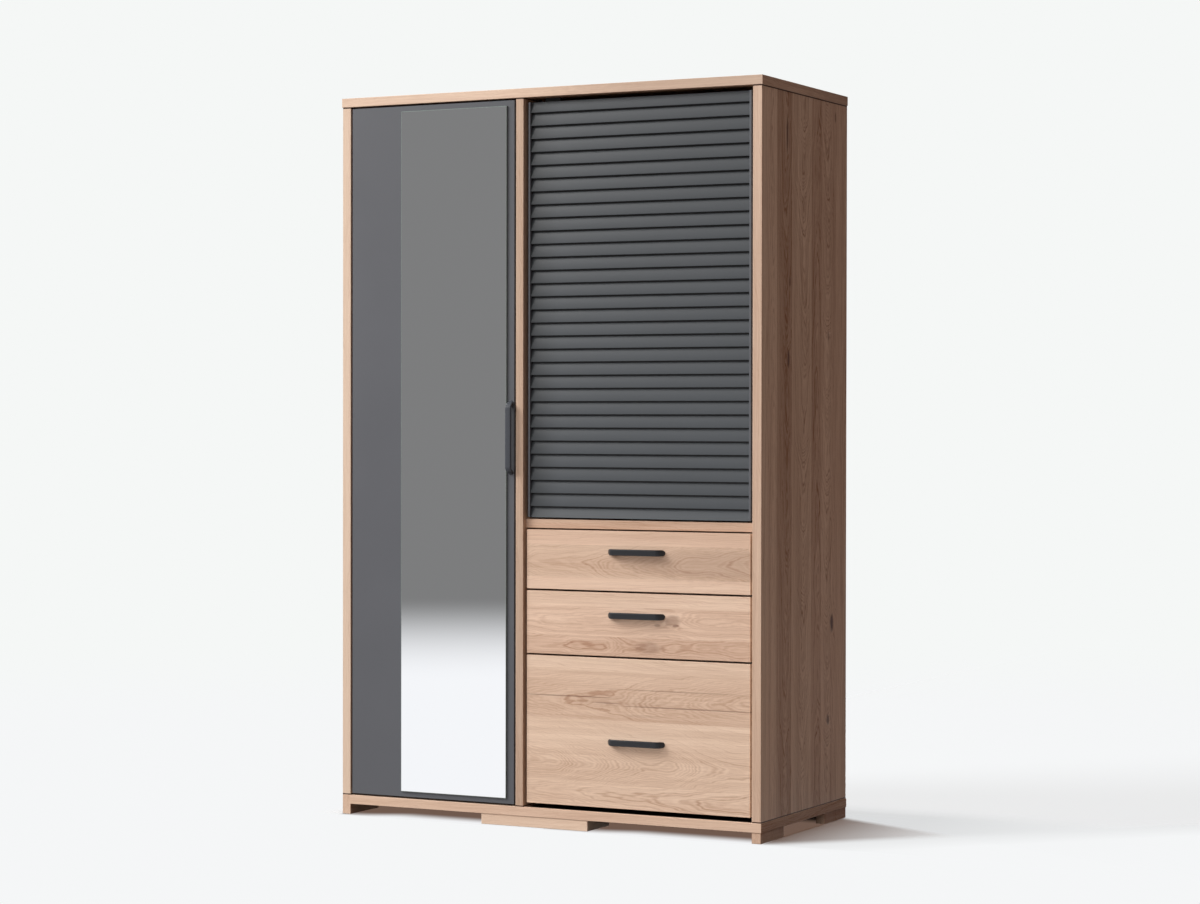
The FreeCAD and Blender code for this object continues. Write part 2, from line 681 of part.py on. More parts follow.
def make_clothes_rail():
    middle_y = (y_front + y_back_panel) / 2
    middle_z = z_hat_shelf - rail_below_shelf
    x0 = x_left_inner + socket_base_thickness
    x1 = x_divider_left - socket_base_thickness
    outer = racetrack(x0, rail_width, rail_height, middle_y, middle_z, x1 - x0)
    inner = racetrack(x0 - cut_overrun, rail_width - 2 * rail_wall, rail_height - 2 * rail_wall,
                      middle_y, middle_z, x1 - x0 + 2 * cut_overrun)
    save("clothes_rail", outer.cut(inner))
    sockets = []
    seat = 2 * socket_clearance
    rim = seat + 2 * socket_rim_wall
    for x, direction in ((x_left_inner, 1), (x_divider_left, -1)):
        cup = racetrack(x, rail_width + rim, rail_height + rim, middle_y, middle_z,
                        direction * (socket_base_thickness + socket_rim_depth))
        hollow = racetrack(x + direction * socket_base_thickness, rail_width + seat, rail_height + seat,
                           middle_y, middle_z, direction * (socket_rim_depth + cut_overrun))
        sockets.append(cup.cut(hollow))
    save("clothes_rail_sockets", *sockets)


def make_wall_brackets():
    """Two angle brackets under the top board, each with a hole for a wall screw."""
    brackets = []
    for point in wall_fixing_points():
        x0 = point.x - bracket_width / 2
        x1 = point.x + bracket_width / 2
        upright = box(x0, x1, y_back_panel - bracket_sheet, y_back_panel,
                      z_top_inner - bracket_leg_length, z_top_inner)
        level = box(x0, x1, y_back_panel - bracket_leg_length, y_back_panel,
                    z_top_inner - bracket_sheet, z_top_inner)
        hole = cylinder(bracket_hole_radius, point - Vector(0, bracket_sheet, 0), Vector(0, 1, 0), bracket_sheet)
        brackets.append(upright.fuse(level).removeSplitter().cut(hole))
    save("wall_brackets", *brackets)


# ---------------------------------------------------------------- drawers
def runner_member(wall_x, direction, web_from, web_to, rim_to, half_height, y0, y1, z_middle):
    """One rolled channel of a runner: both faces of its web and its rims, as distances off the wall."""
    x0, x1 = sorted((wall_x + direction * web_from, wall_x + direction * rim_to))
    blank = box(x0, x1, y0, y1, z_middle - half_height, z_middle + half_height)
    overrun = math.copysign(cut_overrun, rim_to - web_to)
    x0, x1 = sorted((wall_x + direction * web_to, wall_x + direction * (rim_to + overrun)))
    trough = box(x0, x1, y0 - cut_overrun, y1 + cut_overrun,
                 z_middle - half_height + runner_sheet, z_middle + half_height - runner_sheet)
    return blank.cut(trough)


def runner_set(z_middle):
    """The cabinet, middle and drawer members on both sides of one drawer."""
    y0 = drawer_box_y + runner_front_setback
    y1 = drawer_box_end - runner_front_setback
    step = runner_sheet + runner_clearance
    half = runner_height / 2
    cabinet = []
    middle = []
    inner = []
    for wall_x, direction in ((x_divider_right, 1), (x_right_inner, -1)):
        cabinet.append(runner_member(wall_x, direction, 0, runner_sheet, runner_thickness - 2 * step,
                                     half, y0, y1, z_middle))
        middle.append(runner_member(wall_x, direction, step, step + runner_sheet, runner_thickness - step,
                                    half - step, y0, y1 - runner_end_step, z_middle))
        inner.append(runner_member(wall_x, direction, runner_thickness, runner_thickness - runner_sheet,
                                   2 * step, half - 2 * step, y0, y1 - 2 * runner_end_step, z_middle))
    return cabinet, middle, inner


def drawer_front(z0, height, z_box):
    """The oak front, grooved on its back for the drawer bottom."""
    front = board(drawer_front_x0, drawer_front_x1, drawer_front_y, drawer_box_y, z0, z0 + height)
    z_groove = z_box + drawer_bottom_rise
    side = drawer_board_thickness - drawer_groove_depth
    groove = box(drawer_box_x0 + side, drawer_box_x1 - side, drawer_box_y - drawer_groove_depth, drawer_box_y,
                 z_groove, z_groove + drawer_bottom_thickness)
    return front.cut(groove)


def drawer_bottom(z_box):
    side = drawer_board_thickness - drawer_groove_depth
    z0 = z_box + drawer_bottom_rise
    return box(drawer_box_x0 + side, drawer_box_x1 - side, drawer_box_y - drawer_groove_depth,
               drawer_box_end - drawer_board_thickness + drawer_groove_depth, z0, z0 + drawer_bottom_thickness)


def drawer_boards(z_box, z_box_top):
    """Two sides and a back, grooved inside for the drawer bottom."""
    bottom = drawer_bottom(z_box)
    left = board(drawer_box_x0, drawer_box_x0 + drawer_board_thickness, drawer_box_y, drawer_box_end,
                 z_box, z_box_top)
    right = board(drawer_box_x1 - drawer_board_thickness, drawer_box_x1, drawer_box_y, drawer_box_end,
                  z_box, z_box_top)
    back = board(drawer_box_x0 + drawer_board_thickness, drawer_box_x1 - drawer_board_thickness,
                 drawer_box_end - drawer_board_thickness, drawer_box_end, z_box, z_box_top)
    return [piece.cut(bottom) for piece in (left, right, back)]


def make_drawer(name, z0, height, handle_drop):
    """One drawer: front, box, bottom, handle, and its share of the runners."""
    z_box = z0 + box_above_front_bottom
    z_box_top = z0 + height - box_below_front_top
    save(name + "_front", drawer_front(z0, height, z_box))
    save(name + "_box_boards", *drawer_boards(z_box, z_box_top))
    save(name + "_bottom", drawer_bottom(z_box))
    handle = bow_handle(drawer_handle_length, drawer_handle_width)
    handle.translate(Vector(drawer_middle_x, drawer_front_y, z0 + height - handle_drop))
    save(name + "_handle", handle)
    cabinet, middle, inner = runner_set(z_box + runner_above_box_bottom + runner_height / 2)
    save(name + "_runner_middle_members", *middle)
    save(name + "_runner_drawer_members", *inner)
    return cabinet


def make_drawers():
    drawers = (("top_drawer", z_top_drawer, top_drawer_height, top_handle_drop),
               ("middle_drawer", z_middle_drawer, middle_drawer_height, middle_handle_drop),
               ("bottom_drawer", z_bottom_drawer, bottom_drawer_height, bottom_handle_drop))
    cabinet_members = []
    for drawer in drawers:
        cabinet_members += make_drawer(*drawer)
    save("drawer_runner_cabinet_members", *cabinet_members)


# ---------------------------------------------------------------- the whole piece
def main():
    os.makedirs("parts", exist_ok=True)
    make_top_panel()
    make_bottom_panel()
    make_left_side_panel()
    make_right_side_panel()
    make_centre_divider()
    make_fixed_shelf()
    make_back_panels()
    make_feet()
    make_mirror_door()
    make_mirror_glass()
    make_door_handle()
    make_louvre_door()
    make_louvre_slats()
    make_catches()
    make_shelves()
    make_shelf_supports()
    make_clothes_rail()
    make_wall_brackets()
    make_drawers()


main()
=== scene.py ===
"""Finishes, bow handles, louvre slats and screws of an oak chifforobe, with its studio stage.

Lengths are metres in the part's own frame: +X to the right seen from the front, the front faces -Y,
+Z up, origin on the floor. Grain and texture sizes inside the materials are millimetres.
"""

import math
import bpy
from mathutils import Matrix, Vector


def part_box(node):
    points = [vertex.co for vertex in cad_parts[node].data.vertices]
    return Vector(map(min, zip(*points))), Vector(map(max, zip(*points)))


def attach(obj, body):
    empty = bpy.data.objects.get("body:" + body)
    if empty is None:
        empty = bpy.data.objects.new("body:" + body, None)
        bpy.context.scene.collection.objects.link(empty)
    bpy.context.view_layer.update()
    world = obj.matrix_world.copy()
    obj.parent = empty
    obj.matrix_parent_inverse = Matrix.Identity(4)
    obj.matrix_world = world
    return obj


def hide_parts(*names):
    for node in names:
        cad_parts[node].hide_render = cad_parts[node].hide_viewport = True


bl_info = {
    "name": "Chifforobe",
    "version": (1, 0, 0),
    "blender": (4, 5, 0),
    "location": "3D View > Sidebar > Chifforobe",
    "description": "Finishes, handles, slats, screws and stage of an oak chifforobe",
    "category": "Object",
}

import bmesh
import bpy
from bpy.props import FloatProperty, FloatVectorProperty, IntProperty, PointerProperty
from mathutils import Euler, Matrix, Vector

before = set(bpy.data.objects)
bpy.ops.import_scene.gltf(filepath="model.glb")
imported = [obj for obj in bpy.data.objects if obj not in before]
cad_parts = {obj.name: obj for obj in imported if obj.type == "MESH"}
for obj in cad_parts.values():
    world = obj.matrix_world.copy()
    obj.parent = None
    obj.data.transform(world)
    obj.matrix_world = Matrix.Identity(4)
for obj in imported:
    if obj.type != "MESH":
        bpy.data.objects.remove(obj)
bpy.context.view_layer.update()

MILLIMETRES = 1000.0            # from the part's metres to the materials' millimetres
DRAWERS = ("top_drawer", "middle_drawer", "bottom_drawer")
DOORS = ("mirror_door", "louvre_door")


def linear(red, green, blue):
    """A display colour, 0 to 255, as the linear values that shaders take."""
    def channel(value):
        share = value / 255
        return share / 12.92 if share <= 0.04045 else ((share + 0.055) / 1.055) ** 2.4
    return channel(red), channel(green), channel(blue)


def full(colour, brightness=1.0):
    """A three-part colour with its alpha."""
    return (*(channel * brightness for channel in colour[:3]), 1.0)


def colour_property(name, description, display):
    return FloatVectorProperty(name=name, description=description, subtype="COLOR", size=3,
                               min=0.0, max=1.0, default=linear(*display))


def length_property(name, description, default):
    return FloatProperty(name=name, description=description, default=default, min=0.0,
                         unit="LENGTH", subtype="DISTANCE", precision=4)


def strength_property(name, description, default):
    return FloatProperty(name=name, description=description, default=default, min=0.0)


# ---------------------------------------------------------------- settings
class ChifforobeHandles(bpy.types.PropertyGroup):
    bar: length_property("Bar thickness", "Thickness of the bow's flat bar", 0.007)
    run: length_property("Leg run", "How far each leg leans outwards over its height", 0.014)
    bend: length_property("Bend", "Radius of the bow's middle line where the legs meet the grip", 0.013)
    edge: length_property("Edge", "Radius along the edges of the bar", 0.0032)
    nose: length_property("Rounded end", "How far the ends round off, seen from the front", 0.0115)


class ChifforobeLouvre(bpy.types.PropertyGroup):
    pitch: length_property("Slat pitch", "From one slat to the next", 0.03546)
    first: length_property("Top slat", "Door top to the first shadow line", 0.0292)
    gap: length_property("Shadow gap", "Open gap below the nose of each slat", 0.0037)
    nose_setback: length_property("Nose setback", "Nose of a slat behind the edge strips' front", 0.002)
    top_setback: length_property("Top setback", "Top of a slat behind the edge strips' front", 0.0103)
    nose: length_property("Nose radius", "Rounding of the lower edge of a slat", 0.0012)
    count: IntProperty(name="Slats", description="Number of slats, with the two that the door trims",
                       default=32, min=1)


class ChifforobeScrews(bpy.types.PropertyGroup):
    head: length_property("Head radius", "Radius of the pan heads", 0.0036)
    rise: length_property("Head height", "Height of the pan heads", 0.0016)


class ChifforobeFinishes(bpy.types.PropertyGroup):
    oak_light: colour_property("Oak, light", "Palest wood between the rings", (240, 215, 194))
    oak_dark: colour_property("Oak, dark", "Darkest ring lines", (150, 101, 68))
    oak_knot: colour_property("Oak, knots", "Heart of a knot", (88, 44, 26))
    anthracite: colour_property("Anthracite", "Lacquer of both doors", (90, 93, 99))
    slats: colour_property("Slats", "Lacquer of the louvre slats", (66, 71, 76))
    handle: colour_property("Drawer handles", "Powder coat of the drawers' bow handles", (34, 36, 40))
    door_handle: colour_property("Door handle", "Powder coat of the door's bow handle", (66, 70, 77))
    mirror: colour_property("Mirror", "Tint of the silvering", (246, 247, 248))


class ChifforobeStage(bpy.types.PropertyGroup):
    background: colour_property("Background", "Colour behind the piece", (245, 247, 246))
    far_wall: colour_property("Far wall", "What the mirror sees above the floor", (129, 129, 129))
    key: FloatProperty(name="Key light", description="Power of the soft box at the front left",
                       default=570.0, min=0.0, unit="POWER")
    front: strength_property("Front light", "Broad light from the front", 1.6)
    top: strength_property("Top light", "Broad light from overhead", 0.9)
    back: strength_property("Back light", "Broad light from behind on the left", 1.1)


# ---------------------------------------------------------------- node helpers
ORIGIN = (0, 0, 0)
# The kind of a socket, by the number of its parts
SOCKET_KINDS = {1: "NodeSocketFloat", 3: "NodeSocketVector", 4: "NodeSocketColor"}


class Signal:
    """What a node gives out. Sums, products and comparisons with it add their nodes to its own tree."""

    def __init__(self, socket):
        self.socket = socket
        self.tree = socket.id_data

    def __add__(self, other):
        return maths("ADD", self, other)

    def __sub__(self, other):
        return maths("SUBTRACT", self, other)

    def __rsub__(self, other):
        return maths("SUBTRACT", other, self)

    def __mul__(self, other):
        return maths("MULTIPLY", self, other)

    def __truediv__(self, other):
        return maths("DIVIDE", self, other)

    def __rtruediv__(self, other):
        return maths("DIVIDE", other, self)

    def __gt__(self, other):
        return maths("GREATER_THAN", self, other)

    def __lt__(self, other):
        return maths("LESS_THAN", self, other)

    def __abs__(self):
        return maths("ABSOLUTE", self)


def signals(node):
    """All that a node gives out, by name."""
    return {socket.name: Signal(socket) for socket in node.outputs}


def connect(node, inputs):
    """Links each signal to its input of the node, and sets any other value on its input."""
    for key, value in inputs.items():
        if isinstance(value, Signal):
            node.id_data.links.new(value.socket, node.inputs[key])
        else:
            node.inputs[key].default_value = value


def add(tree, kind, inputs, output=0, **settings):
    """What a new node gives out."""
    node = tree.nodes.new(kind)
    for name, value in settings.items():
        setattr(node, name, value)
    connect(node, inputs)
    return Signal(node.outputs[output])


def tree_of(*values):
    return next(value.tree for value in values if isinstance(value, Signal))


def maths(operation, *values, clamp=False):
    inputs = dict(enumerate(values))
    return add(tree_of(*values), "ShaderNodeMath", inputs, operation=operation, use_clamp=clamp)


def vectors(operation, first, second=ORIGIN):
    return add(first.tree, "ShaderNodeVectorMath", {0: first, 1: second}, operation=operation)


def scaled(vector, factor):
    return add(vector.tree, "ShaderNodeVectorMath", {0: vector, "Scale": factor}, operation="SCALE")


def split(value, kind="ShaderNodeSeparateXYZ"):
    """The parts of a vector, or of a colour, in their order."""
    return [Signal(socket) for socket in add(value.tree, kind, {0: value}).socket.node.outputs]


def joined(*parts):
    return add(tree_of(*parts), "ShaderNodeCombineXYZ", dict(enumerate(parts)))


def mixed(factor, first, second, mode="MIX"):
    """Two colours mixed."""
    inputs = {0: factor, 6: first, 7: second}
    return add(tree_of(factor, first, second), "ShaderNodeMix", inputs, 2,
               data_type="RGBA", blend_type=mode, clamp_factor=True)


def remapped(value, low, high, to_low=0.0, to_high=1.0, kind="LINEAR"):
    return add(value.tree, "ShaderNodeMapRange", {0: value, 1: low, 2: high, 3: to_low, 4: to_high},
               interpolation_type=kind)


def eased(value, low, high, to_low=0.0, to_high=1.0):
    """Remapped with a soft start and a soft end."""
    return remapped(value, low, high, to_low, to_high, "SMOOTHSTEP")


def chosen(mask, off, on):
    """One of two values, by a mask of 0 or 1."""
    return mask * (on - off) + off


def noise(place, detail=2.0, roughness=0.5):
    return add(place.tree, "ShaderNodeTexNoise",
               {"Vector": place, "Scale": 1.0, "Detail": detail, "Roughness": roughness},
               noise_dimensions="3D")


def bump(height, distance):
    return add(height.tree, "ShaderNodeBump", {"Height": height, "Distance": distance, "Strength": 1.0})


def new_group(name, inputs):
    """The inputs of a new shader node group, given as name: default."""
    tree = bpy.data.node_groups.new(name, "ShaderNodeTree")
    for label, default in inputs.items():
        parts = len(default) if isinstance(default, tuple) else 1
        socket = tree.interface.new_socket(label, in_out="INPUT", socket_type=SOCKET_KINDS[parts])
        socket.default_value = default
    return signals(tree.nodes.new("NodeGroupInput"))


def give(**outputs):
    """Ends a node group with what it gives out: a colour where it is called so, and else a number."""
    tree = tree_of(*outputs.values())
    for label in outputs:
        kind = SOCKET_KINDS[4 if label == "Colour" else 1]
        tree.interface.new_socket(label, in_out="OUTPUT", socket_type=kind)
    connect(tree.nodes.new("NodeGroupOutput"), outputs)


def placed_group(tree, name, inputs):
    return signals(add(tree, "ShaderNodeGroup", inputs, node_tree=bpy.data.node_groups[name]).socket.node)


def emptied(block):
    """The node tree of a material or a world, without its first nodes."""
    block.use_nodes = True
    block.node_tree.nodes.clear()
    return block.node_tree


def new_material(name):
    """A material, its tree, and its Principled shader."""
    material = bpy.data.materials.new(name)
    tree = emptied(material)
    shader = tree.nodes.new("ShaderNodeBsdfPrincipled")
    connect(tree.nodes.new("ShaderNodeOutputMaterial"), {0: Signal(shader.outputs[0])})
    return material, tree, shader


def feed(shader, **inputs):
    """Links or sets the shader's inputs, with the socket's name written with underscores."""
    connect(shader, {key.replace("_", " "): value for key, value in inputs.items()})


def coordinates(tree, kind):
    return signals(tree.nodes.new("ShaderNodeTexCoord"))[kind]


def object_place(tree):
    """Object coordinates in millimetres."""
    return scaled(coordinates(tree, "Object"), MILLIMETRES)


def finish_nodes(material, *names):
    for name in names:
        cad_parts[name].data.materials.clear()
        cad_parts[name].data.materials.append(material)


# ---------------------------------------------------------------- shared effects
def make_knot_group():
    """A knot or a crack: a dark heart, and the swirl that it gives to the rings round it."""
    given = new_group("Oak Knot", {"Place": ORIGIN, "Centre": ORIGIN, "Size": (60, 12, 60),
                                   "Darkness": 0.8, "Swirl": 2.0})
    wander = vectors("DIVIDE", vectors("ADD", given["Place"], (31, 7, 3)), (24, 9, 24))
    wander = noise(wander) * 1.6 - 0.8
    reach = vectors("DIVIDE", vectors("SUBTRACT", given["Place"], given["Centre"]), given["Size"])
    along, across = split(reach)[:2]
    along = along + wander * 0.4
    across = across + wander * 0.5
    squared = along * along + across * across
    give(Mask=eased(squared, 0.25, 1.6, 1.0, 0.0) * given["Darkness"],
         Swirl=given["Swirl"] / (squared * 0.3 + 1.0))


def make_oak_group():
    """Oak cut into glued staves: growth rings in arches along each stave, streaks, fibres and pores."""
    settings = bpy.context.scene.chifforobe_finishes
    given = new_group("Oak Grain", {
        "Place": ORIGIN, "Tone": 0.4, "Centre": 0.0, "Seed": 0.0, "Figure": 0.6, "Swirl": 0.0,
        "Knot": 0.0, "Ring": 4.8, "Contrast": 1.0, "Light": full(settings.oak_light),
        "Dark": full(settings.oak_dark), "Heart": full(settings.oak_knot)})
    seed = given["Seed"]
    along, across = split(given["Place"])[:2]
    far = seed * 9000.0             # each stave takes its noise far away from the others
    offset = joined(far, far, far)

    def grain_noise(cell, detail=2.0, roughness=0.5):
        """Noise of cells with a length along, across and deep in the board."""
        return noise(vectors("DIVIDE", vectors("ADD", given["Place"], offset), cell), detail, roughness)

    # Rings of a slightly tapered log, cut a little above its heart
    sway = grain_noise((420, 9000, 9000), 1.0) * 46.0 - 23.0
    beside = across - given["Centre"] + sway
    radius = maths("SQRT", beside * beside + 190.0)
    lean = (maths("FRACT", seed * 13.7) * 0.56 - 0.28) * along
    swing = grain_noise((170, 9000, 9000), 1.0) * 84.0 - 42.0
    field = (radius + (lean + swing) * given["Figure"]) / given["Ring"]
    field = field + grain_noise((70, 13, 13)) * 2.8 + given["Swirl"]
    wave = maths("SINE", field * math.tau) * 0.5 + 0.5
    year = noise(vectors("DIVIDE", joined(field, far, 0.0), (1.7, 1.0, 1.0)), 1.0)
    ring = (wave * 0.6 + 0.2) * remapped(year, 0.3, 0.7)
    ring = ring * eased(abs(beside), 10.0, 70.0, 1.0, 0.45)

    broad = grain_noise((900, 34, 34))
    streak = grain_noise((260, 5.0, 5.0), 3.0, 0.6)
    fine = grain_noise((70, 1.5, 1.5), 2.0, 0.6)
    pore = remapped(grain_noise((7.0, 0.55, 0.55), 1.0), 0.60, 0.72)

    tone = broad * 0.34 + streak * 0.28 + fine * 0.24 + ring * 0.42 + pore * 0.09 - 0.50
    tone = maths("MULTIPLY_ADD", tone, given["Contrast"], given["Tone"], clamp=True)
    wood = mixed(given["Knot"], mixed(tone, given["Light"], given["Dark"]), given["Heart"])
    tint = mixed(maths("FRACT", seed * 7.3), (1.0, 0.985, 0.975, 1), (0.985, 1.0, 0.99, 1))
    give(Colour=mixed(1.0, wood, tint, "MULTIPLY"), Roughness=streak * 0.16 + 0.44,
         Height=pore * -0.7 + ring * -0.3)


def make_texture_group():
    """Fine orange peel and speckle of sprayed and powder-coated finishes."""
    given = new_group("Sprayed Texture", {"Place": ORIGIN, "Grain": 1.0, "Cloud": 240.0})
    fine, wide = (scaled(given["Place"], 1.0 / given[size]) for size in ("Grain", "Cloud"))
    give(Speckle=noise(fine, 2.0, 0.6), Cloud=noise(wide))


def make_rolled_group():
    """Rolling lines and faint patches on bare metal, drawn out along one axis."""
    given = new_group("Rolled Metal", {"Place": ORIGIN, "Line": (60, 0.6, 0.6), "Patch": 14.0})
    give(Lines=noise(vectors("DIVIDE", given["Place"], given["Line"])),
         Patches=noise(scaled(given["Place"], 1.0 / given["Patch"])))


# ---------------------------------------------------------------- oak
ALONG_X_FRONT = (0, 2, 1)       # grain along X, staves up the front, depth along Y
ALONG_X_LEVEL = (0, 1, 2)       # grain along X, staves from front to back
ALONG_Z = (2, 1, 0)             # upright grain, staves from front to back
ALONG_Y = (1, 0, 2)             # grain from front to back
OILED_GLOSS = 0.22
FOOT_GLOSS = 0.08
STAVES_WIDTH = 700.0            # millimetres across which the staves of a board are laid
UPRIGHT_MIDDLE, UPRIGHT_HALF = 1014.5, 960.5    # the uprights, from bottom board to top board
JOINT_LINE = 3.4                # height of the dark line where an upright meets them
END_TONE = {ALONG_X_LEVEL: 0.34, ALONG_X_FRONT: -0.15, ALONG_Y: 0.30}   # added on boards' sides
END_CONTRAST = 2.2
LIPPING_CONTRAST = 1.2
INNER_PAINTED_SHADE = 0.45               # painted shade: tone added on the sides of feet that face the middle, under the cabinet
DEPTH_TONE = 0.0007             # added on the sides of feet for each millimetre towards the back
EDGE_FIGURE, EDGE_MIDDLE = 0.35, -2100.0    # lippings and ends: rings so far off that they run straight
JOINT_HEART, JOINT_SHADE = 0.85, 0.55   # how far the joint line goes to a knot's colour, and how dark
# painted shade on a recess behind a drawer front: how dark, and how soft its front edge
PAINTED_RECESS_SHADE, PAINTED_RECESS_BLUR = 0.985, 3.0
FACING = 0.7                    # a face is a front, side or top when its normal points so much that way
NEVER = 2.0                     # no normal reaches this

# Each stave: where it starts across the board, its tone, the middle of its rings, its seed, its figure.
SIDE_STAVES = (
    (-283, 0.22, -206, 0.13, 0.25), (-248, 0.05, -206, 0.19, 0.35), (-184, 0.55, -116, 0.37, 0.50),
    (-84, 0.22, -4, 0.52, 1.00), (50, 0.46, 95, 0.71, 0.55), (118, 0.26, 164, 0.88, 0.95),
    (184, 0.37, 164, 0.28, 0.60), (256, 0.42, 330, 0.43, 0.20))
PLAIN_STAVES = (
    (-330, 0.36, -280, 0.21, 0.5), (-215, 0.46, -160, 0.43, 0.9), (-95, 0.30, -40, 0.64, 0.4),
    (20, 0.42, 80, 0.77, 0.8), (135, 0.26, 180, 0.91, 0.5), (235, 0.45, 280, 0.33, 0.9))
FOOT_STAVES = ((-40, 0.20, 90, 0.64, 0.4), (200, 0.30, 240, 0.20, 0.4))
TOP_FRONT_STAVES = (
    (640, 0.24, 760, 0.29, 0.2), (680, 0.36, 724, 0.81, 0.8), (766, 0.31, 850, 0.56, 0.3))
MIDDLE_FRONT_STAVES = (
    (470, 0.38, 500, 0.55, 0.8), (524, 0.24, 575, 0.83, 0.35), (602, 0.22, 680, 0.47, 0.3))
BOTTOM_FRONT_STAVES = (
    (60, 0.22, 96, 0.66, 0.3), (128, 0.24, 186, 0.945, 1.0), (300, 0.34, 352, 0.23, 0.6),
    (427, 0.23, 520, 0.67, 0.3))

# Each knot: its place along and across the grain, half its length and width, darkness and swirl.
RIGHT_SIDE_KNOTS = (
    (1859, -116, 48, 5.5, 0.80, 1.5), (1470, -97, 13, 4, 0.70, 0.6), (1266, -106, 24, 7, 0.85, 2.0),
    (548, 196, 24, 11, 1.00, 3.0), (284, 170, 14, 9, 0.85, 2.5), (1334, 168, 12, 7, 0.40, 2.5),
    (1934, 215, 14, 6, 0.45, 1.5), (174, -110, 60, 14, 0.10, 3.0))
TOP_EDGE_PATCH = ((560, 1987, 470, 90, 0.22, 0.0),)
TOP_FRONT_KNOTS = ((540, 722, 290, 40, 0.20, 2.0),)
MIDDLE_FRONT_KNOTS = (
    (382, 573, 23, 14, 0.42, 4.0), (390, 560, 10, 4, 0.60, 1.0), (336, 559, 9, 4, 0.34, 1.0),
    (311, 498, 42, 16, 0.28, 2.5))
BOTTOM_FRONT_KNOTS = (
    (235, 352, 130, 17, 0.06, 5.0), (60, 361, 150, 1.8, 0.50, 0.0), (186, 347, 46, 2.4, 0.40, 0.0),
    (430, 341, 200, 1.9, 0.50, 0.0), (380, 385, 180, 1.7, 0.30, 0.0), (300, 316, 60, 4.0, 0.12, 0.0))


def stave_table(across, staves):
    """The stave that a place across the board falls in: its tone, middle, seed and figure."""
    low = staves[0][0]
    ramp = across.tree.nodes.new("ShaderNodeValToRGB")
    ramp.color_ramp.interpolation = "CONSTANT"
    connect(ramp, {0: remapped(across, low, low + STAVES_WIDTH)})
    stops = ramp.color_ramp.elements
    while len(stops) < len(staves):
        stops.new(1.0)
    for stop, (start, tone, middle, seed, figure) in zip(stops, staves):
        stop.position = (start - low) / STAVES_WIDTH
        stop.color = (tone, (middle - low) / STAVES_WIDTH, seed, figure)
    tone, middle, seed = split(Signal(ramp.outputs[0]), "ShaderNodeSeparateColor")
    return tone, middle * STAVES_WIDTH + low, seed, Signal(ramp.outputs[1])


def oak_material(name, axes, staves, knots=(), lipping=None, shift=0.0, contrast=1.0, recess=None,
                 gloss=OILED_GLOSS):
    """Oak for one board with its own staves and knots.

    The lipping is the tone and the painted shade of its glued-on front edge. The recess is the strip of
    its top that lies behind a drawer front and is painted dark as shade: its two ends along X and where it
    starts.
    """
    material, tree, shader = new_material(name)
    parts = split(object_place(tree))
    normal = coordinates(tree, "Normal")
    facing = split(vectors("ABSOLUTE", normal))
    front = facing[1] > (FACING if lipping else NEVER)
    end = facing[0] > (FACING if axes == ALONG_X_LEVEL else NEVER)
    sides = facing[0] > FACING
    edge = maths("MAXIMUM", front, end)
    lipping_tone, lipping_painted_shade = lipping or (0.4, 1.0)

    along, across, deep = (parts[axis] for axis in axes)
    along = chosen(end, along, parts[1])
    across, deep = chosen(front, across, deep), chosen(front, deep, across)
    across = chosen(end, across, parts[2])
    place = joined(along, across, deep)
    tone, middle, seed, figure = stave_table(across + shift, staves)
    tone = chosen(edge, tone, lipping_tone) + sides * END_TONE.get(axes, 0.0)
    if axes == ALONG_Y:
        # painted shade: the feet's inner sides under the cabinet are darkened
        inner_shaded = split(normal)[0] * parts[0] < -10.0
        tone = tone + inner_shaded * INNER_PAINTED_SHADE + parts[1] * sides * DEPTH_TONE

    swirl = mask = joint = 0.0
    for at, over, half_length, half_width, darkness, turn in knots:
        knot = placed_group(tree, "Oak Knot", {
            "Place": place, "Centre": (at, over, 0), "Size": (half_length, half_width, 1),
            "Darkness": darkness, "Swirl": turn})
        mask = maths("MAXIMUM", knot["Mask"], mask)
        swirl = knot["Swirl"] + swirl
    if axes == ALONG_Z:
        joint = abs(parts[2] - UPRIGHT_MIDDLE) > UPRIGHT_HALF - JOINT_LINE
        mask = maths("MAXIMUM", joint * JOINT_HEART, mask)
    wood = placed_group(tree, "Oak Grain", {
        "Place": place, "Tone": tone, "Centre": chosen(edge, middle - shift, EDGE_MIDDLE),
        "Seed": chosen(edge, seed, 0.05 + abs(shift) / 400.0), "Figure": chosen(edge, figure, EDGE_FIGURE),
        "Swirl": swirl, "Knot": mask,
        "Contrast": chosen(front, chosen(end, contrast, END_CONTRAST), LIPPING_CONTRAST)})

    # painted shade: the lipping's darkening and the recess's dark strip stand in for shade; the joint line
    # is the board's own
    shade = chosen(front, 1.0, lipping_painted_shade) * (1.0 - joint * JOINT_SHADE)
    # painted shade: the strip of the top behind a drawer front is darkened as if it lay in shadow
    if recess:
        low, high, start = recess
        painted_dark_strip = abs(parts[0] - (low + high) / 2) < (high - low) / 2
        painted_dark_strip = painted_dark_strip * (facing[2] > FACING) * remapped(parts[1], start, start + PAINTED_RECESS_BLUR)
        shade = shade * (1.0 - painted_dark_strip * PAINTED_RECESS_SHADE)
    feed(shader, Base_Color=scaled(wood["Colour"], shade), Roughness=wood["Roughness"],
         Specular_IOR_Level=gloss, Normal=bump(wood["Height"], 0.00012))
    return material
